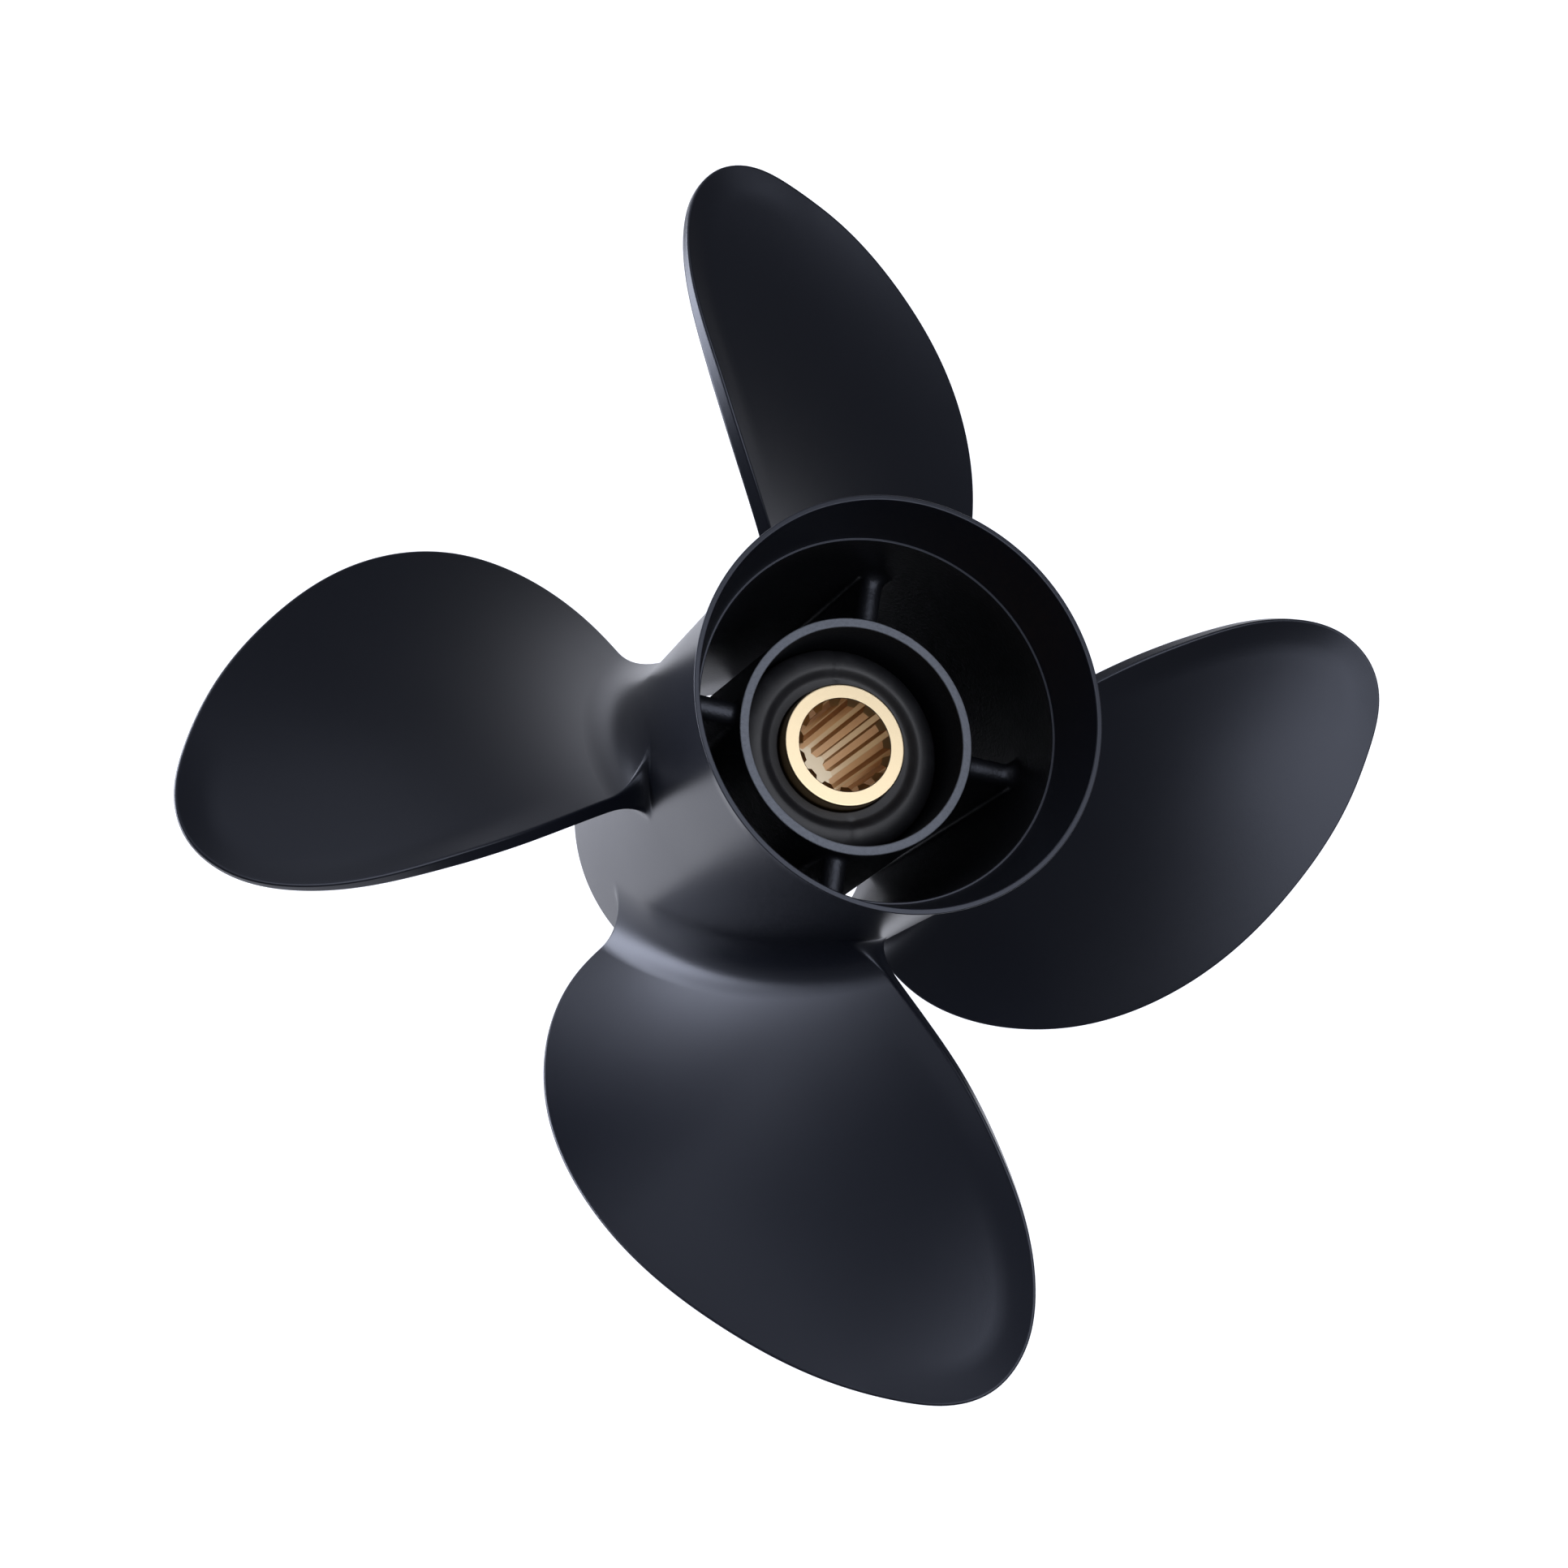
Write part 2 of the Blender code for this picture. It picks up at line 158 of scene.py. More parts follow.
def inside_loop(points: Array, loop: Array) -> Array:
    """Return a mask of the plane points that lie inside a closed loop.

    Args:
        points: rows of plane points.
        loop: rows of its corners in order.

    Returns:
        True for each point inside.
    """
    start, end = loop, np.roll(loop, -1, axis=0)
    px, py = points[:, :1], points[:, 1:2]
    crosses = (start[:, 1] > py) != (end[:, 1] > py)
    rise = np.where(end[:, 1] == start[:, 1], 1e-12, end[:, 1] - start[:, 1])
    at = start[:, 0] + (py - start[:, 1]) * (end[:, 0] - start[:, 0]) / rise
    return np.sum(crosses & (px < at), axis=1) % 2 == 1


def line_distance(points: Array, line: Array) -> tuple[Array, Array]:
    """Measure points against an open line of samples.

    Args:
        points: rows of plane points.
        line: rows of samples along the line.

    Returns:
        The distance of each point, and how far along the line its nearest place lies.
    """
    start, step = line[:-1], np.diff(line, axis=0)
    square = np.sum(step * step, axis=1)
    before = np.concatenate([[0.0], np.cumsum(np.sqrt(square))])[:-1]
    offset = points[:, None, :] - start[None]
    share = np.clip(np.sum(offset * step, axis=2) / square, 0, 1)
    apart = np.linalg.norm(offset - share[..., None] * step, axis=2)
    nearest = np.argmin(apart, axis=1)
    rows = np.arange(len(points))
    along = before[nearest] + share[rows, nearest] * np.sqrt(square[nearest])
    return apart[rows, nearest], along


def fill_region(loops: Sequence[Array], loose: Array, hole: Array | None = None) -> tuple[Array, Array]:
    """Fill a plane region with triangles.

    Args:
        loops: closed loops whose edges the triangles keep; the first bounds the region.
        loose: further points inside the region.
        hole: loop whose inside is left open.

    Returns:
        Rows of plane points, with the loops' points first, and rows of triangle corners.
    """
    edges: list[tuple[int, int]] = []
    count = 0
    for loop in loops:
        edges += [(count + i, count + (i + 1) % len(loop)) for i in range(len(loop))]
        count += len(loop)
    points = np.vstack([*loops, loose])
    found = delaunay_2d_cdt([Vector(p) for p in points.tolist()], edges, [], 1, 1e-7)
    places = np.array([tuple(p) for p in found[0]])
    exact = np.array([ids[0] if ids else -1 for ids in found[3]])
    places[exact >= 0] = points[exact[exact >= 0]]
    faces = np.array(found[2])
    middles = places[faces].mean(axis=1)
    keep = inside_loop(middles, loops[0])
    if hole is not None:
        keep &= ~inside_loop(middles, hole)
    return places, faces[keep]


@dataclass
class Skin:
    """Points and faces of a surface put together from patches, in millimetres."""

    points: list[Array] = field(default_factory=list)
    faces: list[tuple[int, ...]] = field(default_factory=list)
    count: int = 0

    def patch(self, points: Array, faces: Array) -> None:
        """Add points with their faces."""
        self.faces += [tuple(int(i) + self.count for i in face) for face in faces]
        self.points.append(points)
        self.count += len(points)

    def grid(self, rows: Array, closed: bool = False) -> None:
        """Add a net of quads.

        Args:
            rows: points as [row, column, xyz].
            closed: join the last column to the first.
        """
        high, wide = rows.shape[:2]
        index = np.arange(high * wide).reshape(high, wide)
        if closed:
            index = np.hstack([index, index[:, :1]])
        quads = np.stack([index[:-1, :-1], index[:-1, 1:], index[1:, 1:], index[1:, :-1]], axis=-1)
        self.patch(rows.reshape(-1, 3), quads.reshape(-1, 4))

    def mesh(self, name: str) -> bpy.types.Mesh:
        """Return the surface as a Blender mesh in metres.

        Args:
            name: name of the mesh.

        Returns:
            The mesh, shaded smooth.
        """
        made = bpy.data.meshes.new(name)
        made.from_pydata((np.vstack(self.points) * MM).tolist(), [], self.faces)
        made.shade_smooth()
        return made


def polar(radius: Array, turn: Array, height: Array) -> Array:
    """Return xyz rows from cylinder coordinates."""
    radius, turn, height = np.broadcast_arrays(radius, turn, height)
    return np.stack([radius * np.cos(turn), radius * np.sin(turn), height], axis=-1)


@dataclass(frozen=True)
class Ring:
    """Angular net that all turned surfaces share, so that their rims meet point to point."""

    steps: int = 240

    def quarter(self, first: int = 0) -> Array:
        """Return the angles of a quarter turn that starts at a step of the net."""
        return 2 * math.pi * (first + np.arange(self.steps // 4 + 1)) / self.steps


def turned_quarter(skin: Skin, profile: Array, ring: Ring) -> None:
    """Add a quarter turn of a profile of (radius, height) rows."""
    skin.grid(polar(profile[:, :1], ring.quarter()[None, :], profile[:, 1:2]))


def wall_quarter(skin: Skin, radius_at: Callable[[Array], Array], heights: Array, ring: Ring,
                 first: int, foot: Array) -> None:
    """Add a quarter of a tube's wall with an opening where a piece grows out of it.

    Args:
        skin: the surface to add to.
        radius_at: radius of the wall at a height.
        heights: heights of the wall's rows, lowest first.
        ring: the shared angular net.
        first: step of the net where the quarter starts.
        foot: closed loop of xyz points on the wall, left open.
    """
    turns = ring.quarter(first)
    scale = float(radius_at(np.array([heights.mean()]))[0])
    centre = (turns[0] + turns[-1]) / 2
    foot_turn = np.arctan2(foot[:, 1], foot[:, 0])
    foot_turn = centre + (foot_turn - centre + math.pi) % (2 * math.pi) - math.pi
    loop = np.stack([foot_turn * scale, foot[:, 2]], axis=1)
    lower = [(turn * scale, heights[0]) for turn in turns]
    right = [(turns[-1] * scale, height) for height in heights[1:-1]]
    upper = [(turn * scale, heights[-1]) for turn in turns[::-1]]
    left = [(turns[0] * scale, height) for height in heights[-2:0:-1]]
    border = np.array(lower + right + upper + left)
    across, up = np.meshgrid(turns[1:-1] * scale, heights[1:-1])
    inner = np.stack([across.ravel(), up.ravel()], axis=1)
    apart, _ = line_distance(inner, np.vstack([loop, loop[:1]]))
    inner = inner[~inside_loop(inner, loop) & (apart > FOOT_CLEARANCE)]
    places, faces = fill_region([border, loop], inner, loop)
    skin.patch(polar(radius_at(places[:, 1]), places[:, 0] / scale, places[:, 1]), faces)


# Forms of the casting


@dataclass(frozen=True)
class Barrel:
    """Outside tube of the hub, which lets the exhaust out between the ribs."""

    length: float = 146.0
    front_radius: float = 53.5
    neck_radius: float = 49.4
    lip_radius: float = 52.6
    lip_length: float = 11.0
    rim_bore: float = 51.0
    rim_round: float = 0.3
    machined_end: float = 47.3
    step_height: float = 129.5
    cast_bore: float = 46.7
    front_bore: float = 43.0
    front_band: float = 17.0
    edge: float = 1.6
    lip_margin: float = 1.2
    lip_rows: int = 16

    def outer(self, height: Array) -> Array:
        """Return the outer radius at heights, lip included.

        Args:
            height: heights above the front rim.

        Returns:
            The radii there.
        """
        start = self.length - self.lip_length
        taper = self.front_radius + (self.neck_radius - self.front_radius) * np.clip(height / start, 0, 1)
        flare = np.clip((height - start) / self.lip_length, 0, 1)
        return taper + (self.lip_radius - self.neck_radius) * flare ** 2

    def inner(self, height: Array) -> Array:
        """Return the radius at heights of the bore, which is smooth in front and then rough-cast."""
        draft = np.clip((height - self.front_band) / (self.step_height - self.front_band), 0, 1)
        return self.front_bore + (self.cast_bore - self.front_bore) * draft

    def rim_profile(self, outer_start: float, inner_end: float) -> Array:
        """Return the profile over the aft rim, from the outside to the cast bore.

        Args:
            outer_start: height where the outside joins the wall.
            inner_end: height where the bore joins it.

        Returns:
            Rows of (radius, height).
        """
        lip = [(float(self.outer(np.array(z))), z, 0.0)
               for z in np.linspace(outer_start, self.length - self.lip_margin, self.lip_rows)]
        rim = [(self.lip_radius, self.length, self.rim_round), (self.rim_bore, self.length, 0.35)]
        step = [(self.machined_end, self.step_height, 0.12), (self.cast_bore, self.step_height, 0.22)]
        end = float(self.inner(np.array(inner_end)))
        return rounded_profile(lip + rim + step + [(end, inner_end, 0.0)])

    def front_profile(self) -> Array:
        """Return the profile over the front rim, from the bore to the outside."""
        inner = float(self.inner(np.array(self.edge)))
        outer = float(self.outer(np.array(self.edge)))
        return rounded_profile([(inner, self.edge, 0.0), (self.front_bore, 0.0, 0.5),
                                (self.front_radius, 0.0, 0.5), (outer, self.edge, 0.0)])


@dataclass(frozen=True)
class Hub:
    """Inner tube that holds the bush."""

    top: float = 112.0
    bottom: float = 3.0
    radius: float = 31.8
    base_radius: float = 37.4
    bore: float = 29.2
    bore_bottom: float = 28.6
    shoulder_height: float = 8.0
    shoulder_radius: float = 23.0
    wall_top: float = 110.9
    wall_bottom: float = 4.2

    def outer(self, height: Array) -> Array:
        """Return the outer radius at heights."""
        share = (height - self.bottom) / (self.top - self.bottom)
        return self.base_radius + (self.radius - self.base_radius) * share

    def rim_profile(self) -> Array:
        """Return the profile from the outer wall over the rim, down the bore and back."""
        top = float(self.outer(np.array(self.wall_top)))
        low = float(self.outer(np.array(self.wall_bottom)))
        return rounded_profile([
            (top, self.wall_top, 0.0), (self.radius, self.top, 0.45), (self.bore, self.top, 0.55),
            (self.bore - 0.1, self.top - 20, 0.0), (self.bore_bottom, self.shoulder_height, 0.4),
            (self.shoulder_radius, self.shoulder_height, 0.4), (self.shoulder_radius, self.bottom, 0.4),
            (self.base_radius, self.bottom, 0.5), (low, self.wall_bottom, 0.0)])


@dataclass(frozen=True)
class Rib:
    """Tapered web between inner hub and barrel, with a rounded aft edge and fillets at both walls."""

    turn: float = math.radians(45)
    half: float = 3.25
    foot_half: float = 11.0
    foot_round: float = 2.0
    top: float = 108.5
    bottom: float = 8.0
    hub_fillet: float = 1.5
    foot_fillet: float = 3.0
    side_fillet: float = 1.2
    end_fillet: float = 4.0
    arc_steps: int = 12
    corner_steps: int = 5
    fillet_steps: int = 6
    spacing: float = 4.0

    def loop(self) -> tuple[Array, Array]:
        """Return the web's outline across its thickness and its outward directions."""
        high = self.top - self.half
        lean = math.atan((self.foot_half - self.half) / (high - self.bottom))
        over = self.directions(lean, math.pi - lean, self.arc_steps)
        crown = over * self.half + (0.0, high)
        out = self.directions(-math.pi / 2, lean, self.corner_steps)
        low = self.foot_half - self.foot_round * (math.tan(lean) + 1 / math.cos(lean))
        corner = out * self.foot_round + (low, self.bottom + self.foot_round)
        share = np.linspace(0, 1, int((high - self.bottom) / self.spacing))[1:-1, None]
        side = corner[-1] + (crown[0] - corner[-1]) * share
        facing = np.tile(over[0], (len(side), 1))
        along = np.linspace(-low, low, int(2 * low / self.spacing) + 1)[1:-1]
        under = np.stack([along, np.full_like(along, self.bottom)], axis=1)
        down = np.tile((0.0, -1.0), (len(along), 1))
        mirror = (-1, 1)
        place = np.vstack([corner, side, crown, side[::-1] * mirror, corner[::-1] * mirror, under])
        normal = np.vstack([out, facing, over, facing * mirror, out[::-1] * mirror, down])
        return place, normal

    @staticmethod
    def directions(start: float, end: float, steps: int) -> Array:
        """Return unit rows that turn from one angle to another."""
        arc = np.linspace(start, end, steps + 1)
        return np.stack([np.cos(arc), np.sin(arc)], axis=1)

    def fillets(self, place: Array, normal: Array) -> tuple[Array, Array]:
        """Return the fillet at the hub and at the barrel for each point of the outline.

        Args:
            place: outline points as (sideways, height) rows.
            normal: their outward directions.

        Returns:
            The radii of both fillets.
        """
        depth = np.clip((self.top - place[:, 1]) / (self.top - self.bottom), 0, 1)
        sides = 1 - np.clip(-normal[:, 1], 0, 1)
        hub = self.hub_fillet + (self.foot_fillet - self.hub_fillet) * depth * sides
        aft = smooth_step(np.clip(normal[:, 1], 0, 1))
        return hub, self.side_fillet + (self.end_fillet - self.side_fillet) * aft

    def rings(self, hub: Hub, barrel: Barrel) -> Array:
        """Return the web's rings of points from the hub's wall to the barrel's.

        Args:
            hub: the inner tube.
            barrel: the outer tube.

        Returns:
            Points as [ring, point, xyz].
        """
        place, normal = self.loop()
        inner, outer = self.fillets(place, normal)
        arc = np.linspace(0, math.pi / 2, self.fillet_steps + 1)
        rings = []
        for turn in arc:
            across = place + normal * (inner * (1 - math.sin(turn)))[:, None]
            rings.append(self.on_cylinder(hub.outer(across[:, 1]) + inner * (1 - math.cos(turn)), across))
        near = hub.outer(place[:, 1]) + inner
        far = barrel.inner(place[:, 1]) - outer
        for share in (0.25, 0.5, 0.75):
            rings.append(self.on_cylinder(near + (far - near) * share, place))
        for turn in arc[::-1]:
            across = place + normal * (outer * (1 - math.sin(turn)))[:, None]
            rings.append(self.on_cylinder(barrel.inner(across[:, 1]) - outer * (1 - math.cos(turn)), across))
        return np.array(rings)

    def on_cylinder(self, radius: Array, across: Array) -> Array:
        """Return xyz rows of points given by radius, sideways offset and height."""
        return polar(radius, self.turn + np.arcsin(across[:, 0] / radius), across[:, 1])


@dataclass(frozen=True)
class Blade:
    """Right-hand blade whose pressure face is a raked helix with a cupped trailing edge.

    Places on the blade are given by radius and angle, or by the unrolled plane of helix length
    and radius, in which the outline's insets and distances are measured.
    """

    barrel: Barrel
    turn: float = math.radians(57.2)
    reference_radius: float = 102.0
    reference_height: float = 84.9
    span_unit: float = 51.0
    pitch: float = 446.0
    rake: float = 8.5
    tip_rake: float = 1.6
    pitch_slope: float = 33.0
    pitch_bend: float = 84.0
    tip_radius: float = 167.8
    leading: tuple = ((45, -51.5), (62, -51.5), (77, -50.6), (95, -46.4), (114, -39.3), (131, -29.8),
                      (150, -14.7), (159, -6.7), (165.7, 0.7), (167.8, 4.6))
    trailing: tuple = ((166, 8.6), (158, 12.2), (145, 14.7), (132, 15.9), (114, 16.3), (91, 15.4),
                       (75, 13.3), (60, 10.5), (45, 7))
    root_thickness: float = 10.0
    tip_thickness: float = 3.4
    leading_thickness: float = 1.2
    trailing_thickness: float = 4.0
    tip_edge_thickness: float = 1.8
    edge_taper_start: float = 105.0
    swell_width: float = 38.0
    corner: float = 0.6
    span_start: float = 45.0
    cup_rise: float = 1.5
    cup_width: float = 8.0
    cup_bend: float = 1.3
    cup_past_tip: float = 25.0
    cup_fade: float = 30.0
    cup_start: float = 70.0
    cup_spread: float = 40.0
    fillet_height: float = 12.0
    face_reach: float = 16.0
    back_reach: float = 6.0
    end_reach: float = 4.5
    fillet_steps: int = 14
    fillet_bunching: float = 1.15
    root_margin: float = 1.0
    edge_spacing: float = 1.6
    grid_spacing: float = 3.0
    outline_spacing: float = 0.5
    blend_columns: int = 10
    insets: tuple = (0.6, 0.95, 1.6, 2.6, 4.0, 5.8, 8.0, 10.5, 13.2, 16.0)

    def advance(self, radius: Array) -> Array:
        """Return the rise for each radian at radii."""
        out = (radius - self.reference_radius) / self.span_unit
        return (self.pitch - self.pitch_slope * out - self.pitch_bend * out ** 2) / (2 * math.pi)

    def height(self, radius: Array, angle: Array) -> Array:
        """Return the height of the plain pressure face."""
        out = (radius - self.reference_radius) / self.span_unit
        base = self.reference_height + self.rake * out + self.tip_rake * out ** 3
        return base + self.advance(radius) * angle

    def unroll(self, radius: Array, angle: Array) -> Array:
        """Return unrolled plane coordinates of places on the blade."""
        return np.stack([angle * np.hypot(radius, self.advance(radius)), radius], axis=-1)

    def roll(self, plane: Array) -> tuple[Array, Array]:
        """Return radius and angle of unrolled plane points."""
        radius = plane[..., 1]
        return radius, plane[..., 0] / np.hypot(radius, self.advance(radius))

    @cached_property
    def outline(self) -> Array:
        """The outline in the unrolled plane, from leading root over the tip."""
        table = np.array(self.leading + self.trailing, float)
        return natural_spline(self.unroll(table[:, 0], np.radians(table[:, 1])), self.outline_spacing)

    def edge_angles(self, radius: Array) -> tuple[Array, Array]:
        """Return the angles of leading and trailing edge near the root.

        Args:
            radius: radii near the root.

        Returns:
            The leading and the trailing angles there.
        """
        edge_radius, angle = self.roll(self.outline)
        tip = int(np.argmax(edge_radius))
        lead = np.interp(radius, edge_radius[:tip], angle[:tip])
        trail = np.interp(radius, edge_radius[:tip:-1], angle[:tip:-1])
        return lead, trail

    def thickness(self, radius: Array, angle: Array, apart: Array) -> Array:
        """Return the thickness at places a distance apart from the edge.

        Args:
            radius: radii of the places.
            angle: their angles.
            apart: their distances from the outline.

        Returns:
            The thickness at each place.
        """
        lead, trail = self.edge_angles(radius)
        chord = np.clip((angle - lead) / np.maximum(trail - lead, 1e-4), 0, 1)
        thinned = np.clip((radius - self.edge_taper_start) / (self.tip_radius - self.edge_taper_start), 0, 1)
        aft = self.trailing_thickness + (self.tip_edge_thickness - self.trailing_thickness) * thinned
        edge = self.leading_thickness + (aft - self.leading_thickness) * smooth_step(chord)
        span = np.clip((radius - self.span_start) / (self.tip_radius - self.span_start), 0, 1)
        full = self.root_thickness + (self.tip_thickness - self.root_thickness) * span
        swell = np.sin(math.pi / 2 * np.clip(apart / self.swell_width, 0, 1))
        return edge + np.maximum(full - edge, 0) * swell

    def cup(self, plane: Array) -> Array:
        """Return how far the edge curls aft, along the trailing edge and round the tip.

        Args:
            plane: unrolled places.

        Returns:
            The rise of the face at each place.
        """
        outline = self.outline
        tip = int(np.argmax(outline[:, 1]))
        cupped = outline[tip - int(self.cup_past_tip / self.outline_spacing):]
        apart, along = line_distance(plane, cupped)
        fade = smooth_step(along / self.cup_fade)
        fade = fade * smooth_step((plane[:, 1] - self.cup_start) / self.cup_spread)
        return self.cup_rise * fade * np.clip(1 - apart / self.cup_width, 0, 1) ** self.cup_bend

    def frame_at(self, radius: Array, angle: Array) -> tuple[Array, Array, Array, Array]:
        """Work out the section plane of places on the blade.

        Args:
            radius: radii of the places.
            angle: their angles.

        Returns:
            Points on the pressure face, directions across the blade and along the chord, all as
            (arc length, height) rows of the unrolled cylinder, and the thickness.
        """
        plane = self.unroll(radius, angle)
        advance = self.advance(radius)
        along = np.stack([radius, advance], axis=-1) / np.hypot(radius, advance)[:, None]
        across = np.stack([-along[:, 1], along[:, 0]], axis=-1)
        apart, _ = line_distance(plane, self.outline)
        face = np.stack([radius * angle, self.height(radius, angle)], axis=-1)
        face = face + across * self.cup(plane)[:, None]
        return face, across, along, self.thickness(radius, angle, apart)

    def wrap(self, radius: Array, section: Array) -> Array:
        """Return xyz rows of section points at their radii."""
        return polar(radius, self.turn + section[:, 0] / radius, section[:, 1])

    def faces_at(self, radius: Array, angle: Array) -> tuple[Array, Array]:
        """Return xyz rows on the pressure face and on the back."""
        face, across, _, thick = self.frame_at(radius, angle)
        return self.wrap(radius, face), self.wrap(radius, face - across * thick[:, None])

    def root_radius(self, angle: Array, above: float) -> Array:
        """Return the radii at which the plain face stands above the barrel.

        Args:
            angle: angles of the places.
            above: distance from the barrel.

        Returns:
            The radii, found by iteration.
        """
        radius = np.full_like(angle, 60.0)
        for _ in range(8):
            radius = self.barrel.outer(self.height(radius, angle)) + above
        return radius

    def root_line(self) -> tuple[Array, Array]:
        """Return radii and angles along the top of the root fillet, between the edge insets."""
        above = self.fillet_height + self.root_margin
        lead_radius = self.root_radius(np.array([self.edge_angles(66.0)[0]]), above)
        trail_radius = self.root_radius(np.array([self.edge_angles(64.0)[1]]), above)
        lead = float(self.edge_angles(lead_radius)[0][0])
        trail = float(self.edge_angles(trail_radius)[1][0])
        lead_scale = float(np.hypot(lead_radius, self.advance(lead_radius))[0])
        trail_scale = float(np.hypot(trail_radius, self.advance(trail_radius))[0])
        insets = np.array(self.insets)
        near, far = lead + insets / lead_scale, trail - insets[::-1] / trail_scale
        count = int((far[0] - near[-1]) * lead_scale / self.grid_spacing)
        angles = np.concatenate([near, np.linspace(near[-1], far[0], count)[1:-1], far])
        return self.root_radius(angles, above), angles

    def band(self) -> Array:
        """Return the net of unrolled places that follows the outline, [column, inset, 2]."""
        radius, angle = self.root_line()
        root = self.unroll(radius, angle)
        outline = self.outline
        size = len(self.insets)
        corner = np.array(self.insets)[:, None]
        ends = []
        for place, inward in ((root[0], root[1] - root[0]), (root[-1], root[-2] - root[-1])):
            edge = place - inward / np.hypot(*inward) * self.insets[0]
            ends.append(float(line_distance(edge[None], outline)[1][0]))
        lengths = np.concatenate([[0.0], np.cumsum(np.hypot(*np.diff(outline, axis=0).T))])
        columns = int((ends[1] - ends[0]) / self.edge_spacing)
        along = np.linspace(ends[0], ends[1], columns + 1)
        behind, spots, ahead = (
            np.stack([np.interp(along + shift, lengths, outline[:, k]) for k in (0, 1)], axis=1)
            for shift in (-self.outline_spacing, 0.0, self.outline_spacing))
        tangent = ahead - behind
        tangent /= np.hypot(*tangent.T)[:, None]
        inward = np.stack([tangent[:, 1], -tangent[:, 0]], axis=1)
        net = spots[:, None, :] + inward[:, None, :] * corner[None]
        drifts = (root[:size] - net[0], root[:-size - 1:-1] - net[columns])
        for at, end, weight in self.end_columns(columns):
            net[at] += drifts[end] * weight
        return net

    def end_columns(self, last: int) -> list[tuple[int, int, float]]:
        """Return (column, end, weight) for the columns that ease into each end of a strip."""
        weights = [1 - float(smooth_step(step / self.blend_columns)) for step in range(self.blend_columns)]
        return [(step if end == 0 else last - step, end, weight)
                for end in (0, 1) for step, weight in enumerate(weights)]

    def edge_strip(self, net: Array) -> Array:
        """Return rings of points over the rounded edge, face to back.

        Args:
            net: the unrolled net along the outline.

        Returns:
            Points as [column, step, xyz].
        """
        radius, angle = self.roll(net[:, 0])
        face, back = self.faces_at(radius, angle)
        inner_face, _ = self.faces_at(*self.roll(net[:, 1]))
        through = face - back
        thick = np.linalg.norm(through, axis=1, keepdims=True)
        normal = through / thick
        tangent = np.gradient(face, axis=0)
        outward = np.cross(tangent, normal)
        outward /= np.linalg.norm(outward, axis=1, keepdims=True)
        outward *= np.sign(np.sum(outward * (face - inner_face), axis=1, keepdims=True))
        flats = (-self.chord_direction(radius[0], angle[0]), self.chord_direction(radius[-1], angle[-1]))
        for at, end, weight in self.end_columns(len(outward) - 1):
            eased = outward[at] + (flats[end] - outward[at]) * weight
            outward[at] = eased / np.linalg.norm(eased)
        rows = [self.edge_point(face, back, normal, outward, thick, share, lift, reach)
                for share, lift, reach in self.edge_steps()]
        return np.stack(rows, axis=1)

    def chord_direction(self, radius: float, angle: float) -> Array:
        """Return the chord's direction in space at one place.

        Args:
            radius: radius of the place.
            angle: its angle.

        Returns:
            A unit vector along the helix.
        """
        advance = float(self.advance(np.array(radius)))
        turn = self.turn + angle
        flat = np.array([-math.sin(turn), math.cos(turn), 0.0]) * radius
        return (flat + np.array([0, 0, advance])) / math.hypot(radius, advance)

    def edge_steps(self) -> list[tuple[float, float, float]]:
        """Return (share of thickness, lift, reach) of the steps over an edge, face to back."""
        arc = np.linspace(0, math.pi / 2, 6)
        first = [(0.0, math.cos(a), math.sin(a)) for a in arc]
        flat = [(share, 0.0, 1.0) for share in (0.1, 0.5, 0.9)]
        last = [(1.0, -math.sin(a), math.cos(a)) for a in arc]
        return first + flat + last

    def edge_point(self, face: Array, back: Array, normal: Array, outward: Array, thick: Array,
                   share: float, lift: float, reach: float) -> Array:
        """Return the points of one step over the edge."""
        corner = np.minimum(self.corner, thick * 0.5)
        level = face + (back - face) * share
        return level + normal * corner * (lift - (1 - 2 * share)) + outward * corner * reach

    def root_rings(self) -> Array:
        """Return closed rings of points from the barrel up to the root line, [ring, point, xyz]."""
        top_radius, top_angle = self.root_line()
        lead, trail = self.edge_angles(top_radius)
        chord = (top_angle - lead) / (trail - lead)
        over = self.edge_steps()[1:-1]
        count = len(chord)
        share = np.concatenate([np.zeros(count), [s for s, _, _ in over], np.ones(count),
                                [s for s, _, _ in over[::-1]]])
        lift = np.concatenate([np.ones(count), [v for _, v, _ in over], -np.ones(count),
                               [v for _, v, _ in over[::-1]]])
        reach = np.concatenate([np.zeros(count), [v for _, _, v in over], np.zeros(count),
                                [-v for _, _, v in over[::-1]]])
        place = np.concatenate([chord, np.full(len(over), chord[-1]), chord[::-1],
                                np.full(len(over), chord[0])])
        rings = []
        arc = math.pi / 2 * np.linspace(0, 1, self.fillet_steps + 1) ** self.fillet_bunching
        steps = [(self.fillet_height * (1 - math.cos(a)), 1 - math.sin(a)) for a in arc]
        steps += [(self.fillet_height + self.root_margin * part, 0.0) for part in (0.4, 1.0)]
        for above, spread in steps:
            rings.append(self.root_ring(place, share, lift, reach, above, spread))
        return np.array(rings)

